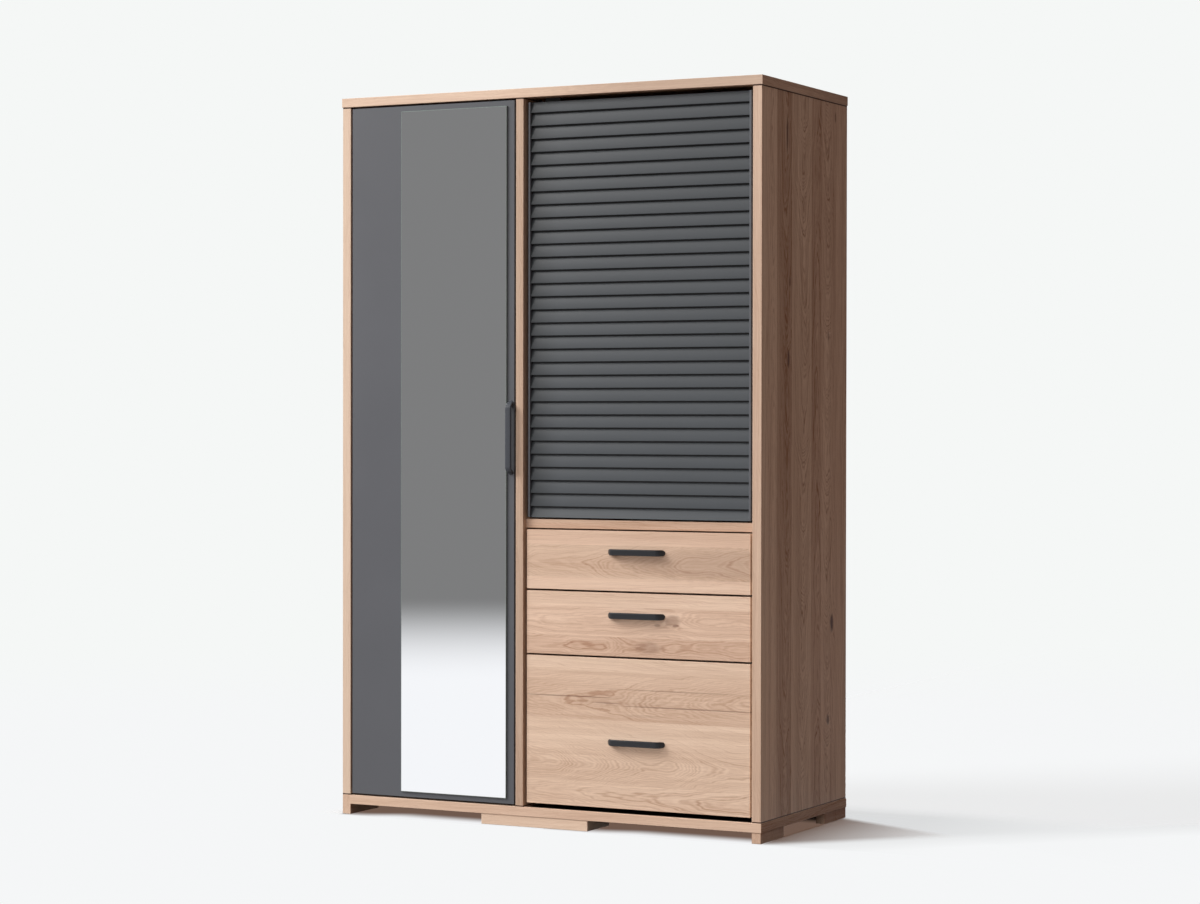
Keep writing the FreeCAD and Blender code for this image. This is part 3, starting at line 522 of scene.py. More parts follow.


# Each board: its grain, staves and knots, the tone and painted shade of its front edge, the shift of its
# staves, its contrast, its recess painted dark as shade, and its gloss.
OAK_BOARDS = (
    ("top_panel", ALONG_X_LEVEL, PLAIN_STAVES, TOP_EDGE_PATCH, (0.20, 0.88), 0.0),
    ("bottom_panel", ALONG_X_LEVEL, PLAIN_STAVES, (), (0.27, 1.0), 47.0, 1.0, (-60, 609, -274.0),
     FOOT_GLOSS),
    ("left_side_panel", ALONG_Z, PLAIN_STAVES, (), (0.10, 0.83), 22.0),
    ("right_side_panel", ALONG_Z, SIDE_STAVES, RIGHT_SIDE_KNOTS, (0.33, 0.91), 0.0, 2.4),
    ("centre_divider", ALONG_Z, PLAIN_STAVES, (), (0.42, 0.81), -31.0),
    ("fixed_shelf", ALONG_X_LEVEL, PLAIN_STAVES, (), (0.53, 0.97), 63.0),
    ("hat_shelf", ALONG_X_LEVEL, PLAIN_STAVES, (), (0.40, 0.97), -18.0),
    ("upper_shelf", ALONG_X_LEVEL, PLAIN_STAVES, (), (0.36, 0.97), 35.0),
    ("lower_shelf", ALONG_X_LEVEL, PLAIN_STAVES, (), (0.44, 0.97), -54.0),
    ("front_centre_foot", ALONG_X_FRONT, FOOT_STAVES, (), None, 0.0, 1.0, None, FOOT_GLOSS),
    ("rear_centre_foot", ALONG_X_FRONT, PLAIN_STAVES, (), None, 58.0, 1.0, None, FOOT_GLOSS),
    *((foot, ALONG_Y, PLAIN_STAVES, (), None, shift, 1.0, None, FOOT_GLOSS) for foot, shift in (
        ("front_left_foot", 17.0), ("front_right_foot", -24.0),
        ("rear_left_foot", 41.0), ("rear_right_foot", -63.0))),
    ("top_drawer_front", ALONG_X_FRONT, TOP_FRONT_STAVES, TOP_FRONT_KNOTS, None, 0.0, 1.0),
    ("middle_drawer_front", ALONG_X_FRONT, MIDDLE_FRONT_STAVES, MIDDLE_FRONT_KNOTS, None, 0.0, 1.3),
    ("bottom_drawer_front", ALONG_X_FRONT, BOTTOM_FRONT_STAVES, BOTTOM_FRONT_KNOTS, None, 0.0, 1.3),
)


class CHIFFOROBE_OT_oak(bpy.types.Operator):
    """Gives every oak board its staves, grain and knots"""
    bl_idname = "chifforobe.oak"
    bl_label = "Oak boards"

    def execute(self, context):
        make_knot_group()
        make_oak_group()
        for board, *cut in OAK_BOARDS:
            finish_nodes(oak_material("Oak " + board, *cut), board)
        return {"FINISHED"}


# ---------------------------------------------------------------- lacquer, mirror and inside boards
# painted shade: the near black laid on faces deep in the louvre's gaps
PAINTED_GAP_SHADE = linear(14, 14, 15)
FRONT_AXIS, EDGE_AXIS = 1, 2


def lacquer_material(name, colour, grain, roughness, depth, painted_shade_side=None, painted_shading=(), gloss=0.5):
    """Sprayed lacquer. The painted shade side is the axis of faces painted black as gap shade, front or
    edges.

    Each fade of painted shading is an axis, two places on it in millimetres, and how bright the coat is at
    each of them.
    """
    material, tree, shader = new_material(name)
    place = object_place(tree)
    coat = placed_group(tree, "Sprayed Texture", {"Place": place, "Grain": grain})
    tint = mixed(remapped(coat["Cloud"], 0.3, 0.7), full(colour, 0.94), full(colour))
    # painted shade: faces deep in the louvre's gaps are coloured near black
    if painted_shade_side is not None:
        facing = split(coordinates(tree, "Normal"))[painted_shade_side]
        if painted_shade_side == EDGE_AXIS:
            facing = abs(facing) * -1.0
        tint = mixed(remapped(facing, -0.62, -0.9), tint, full(PAINTED_GAP_SHADE))
    parts = split(place)
    # painted shade: the coat darkened along an axis
    for axis, start, end, first, last in painted_shading:
        tint = scaled(tint, eased(parts[axis], start, end, first, last))
    feed(shader, Base_Color=tint, Specular_IOR_Level=gloss,
         Roughness=coat["Speckle"] * 0.12 + (roughness - 0.06), Normal=bump(coat["Speckle"], depth))
    return material


ARRIS = 1.6                     # millimetres of ground edge round the front of the glass


def mirror_material():
    """Silvered front with a ground arris round it, and the pale edge of the glass."""
    settings = bpy.context.scene.chifforobe_finishes
    material, tree, shader = new_material("Mirror")
    front = split(coordinates(tree, "Normal"))[1] < -0.9
    parts = split(object_place(tree))
    low, high = (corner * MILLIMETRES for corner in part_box("mirror_glass"))
    for axis in (0, 2):
        away = abs(parts[axis] - (low[axis] + high[axis]) / 2)
        front = front * (away < (high[axis] - low[axis]) / 2 - ARRIS)
    feed(shader, Base_Color=mixed(front, full(linear(120, 132, 128)), full(settings.mirror)),
         Metallic=front, Roughness=remapped(front, 0.0, 1.0, 0.35, 0.012))
    return material


def board_material(name, colour, weave):
    """Coated board with a woven linen print."""
    material, tree, shader = new_material(name)
    place = object_place(tree)
    warp, weft = (noise(vectors("DIVIDE", place, size))
                  for size in ((weave * 14, weave * 14, weave), (weave, weave, weave * 14)))
    cloth = warp + weft
    shade = remapped(cloth, 0.7, 1.3)
    feed(shader, Base_Color=mixed(shade, full(colour, 0.86), full(colour)),
         Roughness=remapped(shade, 0.0, 1.0, 0.62, 0.5), Normal=bump(cloth, 0.00006))
    return material


def thin_board_material():
    """Hardboard: a pale coated face inside and brown fibre behind and below."""
    material, tree, shader = new_material("Thin board")
    place = object_place(tree)
    facing = split(coordinates(tree, "Normal"))
    raw = maths("MAXIMUM", facing[1] > 0.5, facing[2] < -0.5)
    fibre = noise(vectors("DIVIDE", place, (3.5, 3.5, 3.5)), 4.0, 0.7)
    brown = mixed(remapped(fibre, 0.3, 0.7), full(linear(122, 88, 62)), full(linear(156, 118, 86)))
    cloud = noise(vectors("DIVIDE", place, (40, 40, 160)), 3.0)
    pale = mixed(cloud, full(linear(186, 170, 154)), full(linear(202, 188, 172)))
    feed(shader, Base_Color=mixed(raw, pale, brown),
         Roughness=remapped(raw, 0.0, 1.0, 0.5, 0.85), Normal=bump(fibre, 0.00008))
    return material


DOOR_COAT = {"grain": 1.1, "roughness": 0.42, "depth": 0.00002}
# painted shade, as fades of the coat: the mirror door's darker towards its top, its bottom and its right;
# the slats' darker towards the top and at their left ends
MIRROR_DOOR_PAINTED_SHADE = ((2, 1400, 1980, 1.0, 0.88), (2, 60, 900, 0.93, 1.0), (0, -480, -100, 1.0, 0.92))
SLAT_PAINTED_SHADE = ((2, 900, 1960, 1.03, 0.78), (0, -54, 50, 0.50, 1.0))


class CHIFFOROBE_OT_doors(bpy.types.Operator):
    """Anthracite lacquer on both doors and silvering on the mirror"""
    bl_idname = "chifforobe.doors"
    bl_label = "Door lacquer and mirror"

    def execute(self, context):
        make_texture_group()
        coat = context.scene.chifforobe_finishes.anthracite
        for node, name, more in (
                ("louvre_door_edge_strips", "Anthracite lacquer", {}),
                ("mirror_door_panel", "Mirror door lacquer", {"painted_shading": MIRROR_DOOR_PAINTED_SHADE}),
                ("louvre_door_panel", "Louvre backing", {"painted_shade_side": FRONT_AXIS})):
            finish_nodes(lacquer_material(name, coat, **DOOR_COAT, **more), node)
        finish_nodes(mirror_material(), "mirror_glass")
        return {"FINISHED"}


class CHIFFOROBE_OT_inside(bpy.types.Operator):
    """Coated boards of the drawer boxes, and the thin back panels and drawer bottoms"""
    bl_idname = "chifforobe.inside"
    bl_label = "Boards inside"

    def execute(self, context):
        finish_nodes(board_material("Linen board", linear(206, 200, 190), 0.9),
                     *(drawer + "_box_boards" for drawer in DRAWERS))
        finish_nodes(thin_board_material(), "back_panel_left", "back_panel_right",
                     *(drawer + "_bottom" for drawer in DRAWERS))
        return {"FINISHED"}


# ---------------------------------------------------------------- metal and plastic
def metal_material(name, bright, dull, line, roughness):
    """Bare or plated metal, its rolling lines drawn out over the lengths of line."""
    material, tree, shader = new_material(name)
    rolled = placed_group(tree, "Rolled Metal", {"Place": object_place(tree), "Line": line})
    patch = remapped(rolled["Patches"], 0.3, 0.7)
    feed(shader, Base_Color=mixed(patch, full(dull), full(bright)), Metallic=1.0,
         Roughness=rolled["Lines"] * 0.22 + (roughness - 0.11), Normal=bump(rolled["Lines"], 0.00002))
    return material


# Each metal: its bright and dull colour, the lengths of its rolling lines, its roughness and its nodes.
FITTINGS = (
    ("Nickelled steel", linear(206, 204, 198), linear(176, 174, 168), (14.0, 14.0, 14.0), 0.30, (
        "shelf_supports", "wall_brackets",
        *(door + part for door in DOORS for part in
          ("_hinge_arms", "_hinge_plates", "_hinge_cups", "_hinge_pins", "_catch_plate")))),
    ("Zinc plated runner", linear(186, 190, 196), linear(150, 154, 162), (0.8, 90.0, 0.8), 0.38, (
        "drawer_runner_cabinet_members",
        *(drawer + part for drawer in DRAWERS for part in
          ("_runner_middle_members", "_runner_drawer_members")))),
    ("Chromed rail", linear(222, 224, 228), linear(208, 211, 216), (120.0, 0.5, 0.5), 0.14,
     ("clothes_rail",)),
)


class CHIFFOROBE_OT_fittings(bpy.types.Operator):
    """Plated hinges, runners, rail and angles, and the plastic of catches and rail sockets"""
    bl_idname = "chifforobe.fittings"
    bl_label = "Metal and plastic fittings"

    def execute(self, context):
        make_rolled_group()
        for *look, nodes in FITTINGS:
            finish_nodes(metal_material(*look), *nodes)
        plastic = lacquer_material("Black plastic", linear(30, 30, 31), 0.7, 0.48, 0.00003)
        finish_nodes(plastic, "magnetic_catches", "clothes_rail_sockets")
        return {"FINISHED"}


# ---------------------------------------------------------------- mesh helpers
SMOOTH_ANGLE = math.radians(38)     # edges sharper than this stay sharp


def new_piece(name, form, body, slot_name, material, *nodes):
    """A finished mesh as a piece that rides on a body and stands for its nodes."""
    bmesh.ops.remove_doubles(form, verts=form.verts, dist=1e-6)
    bmesh.ops.recalc_face_normals(form, faces=form.faces)
    placed_piece(name, plain_mesh(name, form), body, slot_name, material, *nodes)


def shown(name, data):
    """An object of the scene."""
    made = bpy.data.objects.new(name, data)
    bpy.context.scene.collection.objects.link(made)
    return made


def plain_mesh(name, form):
    mesh = bpy.data.meshes.new(name)
    form.to_mesh(mesh)
    form.free()
    return mesh


def placed_piece(name, mesh, body, slot_name, material, *nodes):
    """A mesh as a smoothly shaded piece on a body."""
    piece = shown(name, mesh)
    mesh.materials.clear()
    mesh.materials.append(material)
    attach(piece, body)
    if nodes:
        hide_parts(*nodes)
    mesh.shade_smooth()
    mesh.set_sharp_from_angle(angle=SMOOTH_ANGLE)


def strip_of_faces(form, first, second):
    """Quads between two closed rows of as many points."""
    for step in range(len(first)):
        after = (step + 1) % len(first)
        form.faces.new((first[step], first[after], second[after], second[step]))


# ---------------------------------------------------------------- bow handles
SECTION_CORNER_STEPS = 5
BEND_STEPS = 9
LEG_STEPS = 6
END_TAPER = 0.88                # 1 would bring the ends to a point


def rounded_section(width, thickness, radius):
    """A rounded rectangle round the origin, as (sideways, outwards) points."""
    points = []
    for quarter in range(4):
        turn = quarter * math.pi / 2
        corner_x = (width / 2 - radius) * (1 if quarter in (0, 3) else -1)
        corner_y = (thickness / 2 - radius) * (1 if quarter in (0, 1) else -1)
        for step in range(SECTION_CORNER_STEPS + 1):
            angle = turn + step / SECTION_CORNER_STEPS * math.pi / 2
            points.append((corner_x + radius * math.cos(angle), corner_y + radius * math.sin(angle)))
    return points


def bow_line(length, projection, settings):
    """Middle line of the bow from foot to foot, as (along, outwards) points with their directions."""
    half = length / 2
    lean = math.atan2(projection, settings.run)
    foot = settings.bar / 2 / math.sin(lean)
    rise = projection - settings.bar / 2
    corners = [Vector((-half + foot, 0)), Vector((-half + foot + rise / math.tan(lean), rise))]
    corners += [Vector((-corner.x, corner.y)) for corner in reversed(corners)]
    line = []
    for index in (1, 2):
        before = (corners[index] - corners[index - 1]).normalized()
        after = (corners[index + 1] - corners[index]).normalized()
        turn = math.atan2(before.cross(after), before.dot(after))
        reach = settings.bend * math.tan(abs(turn) / 2)
        side = Vector((-before.y, before.x)) * math.copysign(1, turn)
        start = corners[index] - before * reach
        centre = start + side * settings.bend
        for step in range(BEND_STEPS + 1):
            spin = Matrix.Rotation(turn * step / BEND_STEPS, 2)
            line.append((centre + spin @ (start - centre), (spin @ before).normalized()))
    leg = [(corners[0].lerp(line[0][0], step / LEG_STEPS), line[0][1]) for step in range(LEG_STEPS)]
    far_leg = [(Vector((-place.x, place.y)), Vector((way.x, -way.y))) for place, way in reversed(leg)]
    return leg + line + far_leg


def bow_form(length, width, projection, settings):
    """The bow, with its feet on the plane y = 0 and the grip towards -Y."""
    form = bmesh.new()
    section = rounded_section(width, settings.bar, settings.edge)
    rings = []
    line = bow_line(length, projection, settings)
    for index, (point, direction) in enumerate(line):
        outwards = Vector((-direction.y, direction.x))
        ring = []
        for sideways, lift in section:
            place = point + outwards * lift
            if index in (0, len(line) - 1):
                place -= direction * (place.y / direction.y)
            reach = max(0.0, 1.0 - (length / 2 - abs(place.x)) / settings.nose)
            narrowed = sideways * math.sqrt(1.0 - END_TAPER * reach * reach)
            ring.append(form.verts.new((place.x, -place.y, narrowed)))
        rings.append(ring)
    for first, second in zip(rings, rings[1:]):
        strip_of_faces(form, first, second)
    form.faces.new(rings[0][::-1])
    form.faces.new(rings[-1])
    return form


class CHIFFOROBE_OT_handles(bpy.types.Operator):
    """Bow handles of the mirror door and the three drawers, bent from a flat bar with soft edges"""
    bl_idname = "chifforobe.handles"
    bl_label = "Bow handles"

    def execute(self, context):
        settings = context.scene.chifforobe_handles
        finishes = context.scene.chifforobe_finishes
        drawer_coat, door_coat = (
            lacquer_material(name, colour, 0.5, roughness, 0.00003, gloss=gloss)
            for name, colour, roughness, gloss in (
                ("Drawer handle coat", finishes.handle, 0.40, 0.4),
                ("Door handle coat", finishes.door_handle, 0.55, 0.3)))
        for body in ("mirror_door",) + DRAWERS:
            node = body + "_handle"
            low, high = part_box(node)
            upright = body == "mirror_door"
            wide, tall = high.x - low.x, high.z - low.z
            length, width = (tall, wide) if upright else (wide, tall)
            form = bow_form(length, width, high.y - low.y, settings)
            turn = Matrix.Rotation(math.pi / 2, 4, "Y") if upright else Matrix.Identity(4)
            middle = (low + high) / 2
            form.transform(Matrix.Translation((middle.x, high.y, middle.z)) @ turn)
            coat = door_coat if upright else drawer_coat
            new_piece(body + "_bow_handle", form, body, "handle_lacquer", coat, node)
        return {"FINISHED"}


# ---------------------------------------------------------------- louvre slats
NOSE_STEPS = 5


def slat_form(settings, low, high):
    """One whole slat with a rounded nose; the lowest point of its nose is at z = 0."""
    y_back = high.y
    y_nose = low.y
    y_top = y_nose + settings.top_setback - settings.nose_setback
    radius = settings.nose
    z_top = settings.pitch - settings.gap
    outline = [(y_back, 0.0)]
    for step in range(NOSE_STEPS + 1):
        angle = step / NOSE_STEPS * math.pi / 2
        outline.append((y_nose + radius * (1 - math.sin(angle)), radius * (1 - math.cos(angle))))
    outline += [(y_top, z_top), (y_back, z_top)]
    form = bmesh.new()
    ends = [[form.verts.new((x, y, z)) for y, z in outline] for x in (low.x, high.x)]
    strip_of_faces(form, *ends)
    form.faces.new(ends[0][::-1])
    form.faces.new(ends[1])
    return form


def new_row_tree(name, kinds):
    """A geometry node tree's inputs, and the keys under which a modifier sets them."""
    tree = bpy.data.node_groups.new(name, "GeometryNodeTree")
    keys = {}
    for label, kind in kinds.items():
        socket = tree.interface.new_socket(label, in_out="INPUT", socket_type="NodeSocket" + kind)
        keys[label] = socket.identifier
    tree.interface.new_socket("Made", in_out="OUTPUT", socket_type="NodeSocketGeometry")
    return signals(tree.nodes.new("NodeGroupInput")), keys


def copied(points, piece, finish, **how):
    """Ends a geometry node tree with real copies of a piece on points, in their material."""
    tree = points.tree
    copies = add(tree, "GeometryNodeInstanceOnPoints", {"Points": points, "Instance": piece, **how})
    real = add(tree, "GeometryNodeRealizeInstances", {0: copies})
    finished = add(tree, "GeometryNodeSetMaterial", {0: real, "Material": finish})
    connect(tree.nodes.new("NodeGroupOutput"), {0: finished})
    return tree


def repeat_tree():
    """Geometry nodes that set copies of what comes in along a straight row."""
    given, keys = new_row_tree("Slat row", {"Piece": "Geometry", "Count": "Int", "Start": "Vector",
                                            "Step": "Vector", "Finish": "Material"})
    row = add(given["Piece"].tree, "GeometryNodeMeshLine",
              {"Count": given["Count"], "Start Location": given["Start"], "Offset": given["Step"]},
              mode="OFFSET")
    return copied(row, given["Piece"], given["Finish"]), keys


def grown_mesh(name, base, tree, keys, values):
    """The plain mesh that a geometry node tree makes from a base mesh."""
    carrier = shown(name + "_carrier", base)
    modifier = carrier.modifiers.new(name, "NODES")
    modifier.node_group = tree
    for label, value in values.items():
        modifier[keys[label]] = value
    bpy.context.view_layer.update()
    evaluated = carrier.evaluated_get(bpy.context.evaluated_depsgraph_get())
    mesh = bpy.data.meshes.new_from_object(evaluated)
    carrier.modifiers.remove(modifier)
    bpy.data.objects.remove(carrier)
    return mesh


def trimmed(form, point, outwards):
    """Cuts off what lies past a plane and closes the cut."""
    geometry = form.verts[:] + form.edges[:] + form.faces[:]
    cut = bmesh.ops.bisect_plane(form, geom=geometry, plane_co=point, plane_no=outwards, clear_outer=True)
    edges = [item for item in cut["geom_cut"] if isinstance(item, bmesh.types.BMEdge)]
    bmesh.ops.holes_fill(form, edges=edges)


class CHIFFOROBE_OT_slats(bpy.types.Operator):
    """Lapped louvre slats with rounded noses, trimmed to the door at top and bottom"""
    bl_idname = "chifforobe.slats"
    bl_label = "Louvre slats"

    def execute(self, context):
        settings = context.scene.chifforobe_louvre
        low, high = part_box("louvre_slats")
        base = plain_mesh("slat", slat_form(settings, low, high))
        colour = context.scene.chifforobe_finishes.slats
        finish = lacquer_material("Slat lacquer", colour, 1.1, 0.44, 0.00002,
                                  painted_shade_side=EDGE_AXIS, painted_shading=SLAT_PAINTED_SHADE)
        tree, keys = repeat_tree()
        mesh = grown_mesh("slats", base, tree, keys, {
            "Count": settings.count, "Start": (0.0, 0.0, high.z - settings.first),
            "Step": (0.0, 0.0, -settings.pitch), "Finish": finish})
        form = bmesh.new()
        form.from_mesh(mesh)
        trimmed(form, (0, 0, high.z), (0, 0, 1))
        trimmed(form, (0, 0, low.z), (0, 0, -1))
        new_piece("louvre_door_slats", form, "louvre_door", "anthracite_lacquer", finish, "louvre_slats")
        return {"FINISHED"}


# ---------------------------------------------------------------- screws
HEAD_SIDES = 12
HEAD_RINGS = ((1.0, 0.0), (1.0, 0.45), (0.88, 0.82), (0.60, 1.0))   # shares of the radius and the height
RECESS_ARM, RECESS_WEB = 0.46, 0.17     # reach of the recess and of its corners, as shares of the radius
RECESS_HALF_ARM = 0.32          # half the angle that an arm of the cross takes at its end
RECESS_FLOOR = 0.35             # height of its floor, as a share of the height
RECESS_TAPER = 0.7              # size of its floor, as a share of its mouth


def head_form(settings):
    """A pan head with a cross recess, standing on z = 0."""
    form = bmesh.new()
    turn = math.tau / HEAD_SIDES
    rings = [[(settings.head * share * math.cos((side - 0.5) * turn),
               settings.head * share * math.sin((side - 0.5) * turn), settings.rise * height)
              for side in range(HEAD_SIDES)] for share, height in HEAD_RINGS]
    cross = []
    for side in range(HEAD_SIDES):
        arm, part = divmod(side, 3)
        angle = arm * math.pi / 2 + (-RECESS_HALF_ARM, RECESS_HALF_ARM, math.pi / 4)[part]
        reach = settings.head * (RECESS_WEB if part == 2 else RECESS_ARM)
        cross.append((reach * math.cos(angle), reach * math.sin(angle)))
    rings.append([(x, y, settings.rise) for x, y in cross])
    rings.append([(x * RECESS_TAPER, y * RECESS_TAPER, settings.rise * RECESS_FLOOR) for x, y in cross])
    rings = [[form.verts.new(point) for point in ring] for ring in rings]
    for first, second in zip(rings, rings[1:]):
        strip_of_faces(form, first, second)
    form.faces.new(rings[0][::-1])
    form.faces.new(rings[-1])
    return form


def screw_tree():
    """Geometry nodes that stand a head on each point, along the point's axis, each turned differently."""
    given, keys = new_row_tree("Screw heads", {"Places": "Geometry", "Head": "Object", "Seed": "Int",
                                               "Finish": "Material"})
    tree = given["Places"].tree
    head = add(tree, "GeometryNodeObjectInfo", {"Object": given["Head"]}, "Geometry")
    axis = add(tree, "GeometryNodeInputNamedAttribute", {"Name": "axis"}, data_type="FLOAT_VECTOR")
    aligned = add(tree, "FunctionNodeAlignRotationToVector", {"Vector": axis}, axis="Z")
    turned = add(tree, "FunctionNodeRandomValue", {"Seed": given["Seed"], 3: math.pi / 2}, 1,
                 data_type="FLOAT")
    spin = add(tree, "FunctionNodeAxisAngleToRotation", {"Axis": (0, 0, 1), "Angle": turned})
    place = add(tree, "FunctionNodeRotateRotation", {"Rotation": aligned, "Rotate By": spin},
                rotation_space="LOCAL")
    return copied(given["Places"], head, given["Finish"], Rotation=place), keys


LEFT, RIGHT, BACKWARDS, DOWN = (-1, 0, 0), (1, 0, 0), (0, 1, 0), (0, 0, -1)
# Each door's hinges: their heights, the way to the middle of the cabinet, and where the screws of the
# flanges (X, Y), of the plates (X, Y) and of the arms (X, and both Y) stand.
HINGES = {
    "mirror_door": ((0.1690, 0.7327, 1.2963, 1.8600), RIGHT, (-0.5810, -0.2590), (-0.6110, -0.2210),
                    (-0.5990, -0.2335, -0.2085)),
    "louvre_door": ((0.9500, 1.4015, 1.8530), LEFT, (0.5770, -0.2410), (0.6070, -0.2030),
                    (0.5950, -0.2155, -0.1905)),
}
FLANGE_SCREWS = (-0.025, 0.025)     # above and below the middle of a hinge
PLATE_SCREWS = (-0.020, 0.020)
ANGLE_SCREWS = ((-0.0635, RIGHT), (0.6125, LEFT))           # on the angles under the loose shelves
ANGLE_SCREW_DEPTHS = (-0.1655, 0.2335)
ANGLE_SCREW_DROP = 0.009
BRACKETS = (-0.351, 0.2745)         # middles of the wall brackets along X, under the top board
BRACKET_SCREWS = (-0.012, 0.012)
BRACKET_SCREW_DEPTH, BRACKET_SCREW_DROP = 0.262, 0.0025
CATCHES = ((-0.153, -0.2522, 1.954), (0.004, -0.2342, 1.947))
CATCH_SCREWS = (-0.015, 0.015)
HANDLE_SCREW_INSET = 0.0087         # from the end of a handle to the screw in its foot
RUNNER_SCREWS = (-0.20, -0.02, 0.18)
RUNNER_WEB = 0.0085                 # how far the web of a drawer member lies behind the edges of its rims


def handle_screws(body, board):
    """Both screws of a handle, from behind the board that it sits on."""
    low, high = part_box(body + "_handle")
    axis = 2 if body == "mirror_door" else 0
    places = []
    for end, inwards in ((low, HANDLE_SCREW_INSET), (high, -HANDLE_SCREW_INSET)):
        place = (low + high) / 2
        place[axis] = end[axis] + inwards
        place.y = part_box(body + board)[1].y
        places.append((place, BACKWARDS))
    return places


def screw_places():
    """Every screw that shows: body, slot, and its places with the way that each head points."""
    carcass = []
    doors = {}
    for door, (heights, side, flange, plate, (arm_x, *arm_ys)) in HINGES.items():
        doors[door] = [((*flange, height + away), BACKWARDS)
                       for height in heights for away in FLANGE_SCREWS]
        carcass += [((*plate, height + away), side) for height in heights for away in PLATE_SCREWS]
        carcass += [((arm_x, y, height), side) for height in heights for y in arm_ys]
    for shelf in ("upper_shelf", "lower_shelf"):
        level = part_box(shelf)[0].z - ANGLE_SCREW_DROP
        carcass += [((x, y, level), side) for y in ANGLE_SCREW_DEPTHS for x, side in ANGLE_SCREWS]
    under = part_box("top_panel")[0].z - BRACKET_SCREW_DROP
    carcass += [((x + away, BRACKET_SCREW_DEPTH, under), DOWN)
                for x in BRACKETS for away in BRACKET_SCREWS]
    carcass += [((x + away, y, z), DOWN) for x, y, z in CATCHES for away in CATCH_SCREWS]
    places = [("carcass", "hinge_nickel", carcass)]
    doors["mirror_door"] += handle_screws("mirror_door", "_panel")
    for body in DRAWERS:
        low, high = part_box(body + "_runner_drawer_members")
        webs = ((low.x + RUNNER_WEB, LEFT), (high.x - RUNNER_WEB, RIGHT))
        on_webs = [((x, y, (low.z + high.z) / 2), side) for x, side in webs for y in RUNNER_SCREWS]
        places.append((body, "runner_steel", handle_screws(body, "_front") + on_webs))
    return places + [(door, "hinge_nickel", found) for door, found in doors.items()]


class CHIFFOROBE_OT_screws(bpy.types.Operator):
    """Cross-recess pan heads on hinges, runners, catches, brackets, shelf angles and handles"""
    bl_idname = "chifforobe.screws"
    bl_label = "Screws"

    def execute(self, context):
        head = shown("head", plain_mesh("head", head_form(context.scene.chifforobe_screws)))
        finish = metal_material("Screw steel", linear(196, 194, 190), linear(160, 158, 154),
                                (1.2, 1.2, 1.2), 0.34)
        tree, keys = screw_tree()
        for seed, (body, slot_name, places) in enumerate(screw_places()):
            points = bpy.data.meshes.new(body + "_screw_places")
            points.from_pydata([place for place, axis in places], [], [])
            axes = points.attributes.new("axis", "FLOAT_VECTOR", "POINT")
            axes.data.foreach_set("vector", [part for place, axis in places for part in axis])
            mesh = grown_mesh(body + "_screws", points, tree, keys,
                              {"Head": head, "Seed": seed, "Finish": finish})
            placed_piece(body + "_screws", mesh, body, slot_name, finish)
        bpy.data.objects.remove(head)
        return {"FINISHED"}


# ---------------------------------------------------------------- stage
CAMERA_PLACE = (3.68610, -7.14284, 1.09910)
CAMERA_YAW = math.radians(27.1376)
CAMERA_PITCH = math.radians(-0.6037)
CAMERA_ROLL = math.radians(0.0776)
CAMERA_LENS = 86.612
FLOOR_HALF = 40.0
OVERHEAD_PLACE = (-5.33, -0.53, 60.0)
OVERHEAD_SIZE = (14.85, 7.34)
OVERHEAD_POWER = 97500.0
FLOOR_LOW_STRENGTH = 2.87
LIGHT_DISTANCE = 8.0
KEY_SIZE = 3.4
KEY_COLOUR = (1.0, 0.985, 0.965)
FILL_COLOUR = (1.0, 0.99, 0.98)
FLOOR_LIGHT_COLOUR = (0.886, 0.963, 1.0)
ROOM_COLOUR = (0.108, 0.062, 0.047, 1)      # what the piece receives from the room
FLOOR_WHITE = linear(245, 246.2, 247)
FLOOR_COLOUR = (0.3, 0.3, 0.3, 1)
# painted light: a warm glow added to the lit floor, which shows in its shadows
FLOOR_PAINTED_GLOW = (0.090, 0.044, 0.024, 1)
FLOOR_BOUNCE = (0.055, 0.034, 0.024, 1)     # what the floor throws back on the piece
MIRRORED_FLOOR = (0.985, 0.99, 1.01, 1)
BELOW_PAINTED_SHADE = (0.160, 0.101, 0.076, 1)       # painted shade: the floor below the bottom board, in the dark
BELOW_PAINTED_LIGHT = (0.91, 0.915, 0.93, 1)          # painted light: where light would fall in from the front
# Painted light and shade on the floor, as its white glowing at set levels: each soft edge, the places
# where it starts and ends, in metres, and the levels there
REAR_SLOPE, REAR_EDGE, REAR_END = 0.5, (0.5705, 0.6305), (0.34, 0.60, 1.0, 0.0)
REAR_LEVEL = (0.85, 1.6, 0.775, 0.97)
FRONT_SHARE, FRONT_EDGE, FRONT_LEVEL = 0.93, (0.857, 0.997), (0.942, 1.2, 0.89, 1.0)
PLAIN_FRONT, PLAIN_LEFT = (-0.26, -0.31), (-0.66, -0.72)
LEFT_FOOT_SHADE, CENTRE_FOOT_SHADE = (-0.616, -0.45, 0.055, 0.0), (0.13, 0.28, 0.03, 0.0)
BELOW_DEPTH, BELOW_REAR = (-0.292, -0.170, 1.0, 0.0), (0.145, 0.225, 1.0, 0.05)
BELOW_SIDES, BELOW_FRONT, BELOW_BACK = (0.630, 0.650, 1.0, 0.0), (-0.305, -0.285), 0.290


def add_camera():
    camera = bpy.data.cameras.new("Camera")
    camera.lens = CAMERA_LENS
    camera.sensor_width = 36.0
    camera.clip_end = 200.0
    place = shown("Camera", camera)
    turn = Euler((math.pi / 2 + CAMERA_PITCH, 0, CAMERA_YAW)).to_matrix()
    turn = turn @ Matrix.Rotation(CAMERA_ROLL, 3, "Z")
    place.matrix_world = Matrix.Translation(CAMERA_PLACE) @ turn.to_4x4()
    bpy.context.scene.camera = place


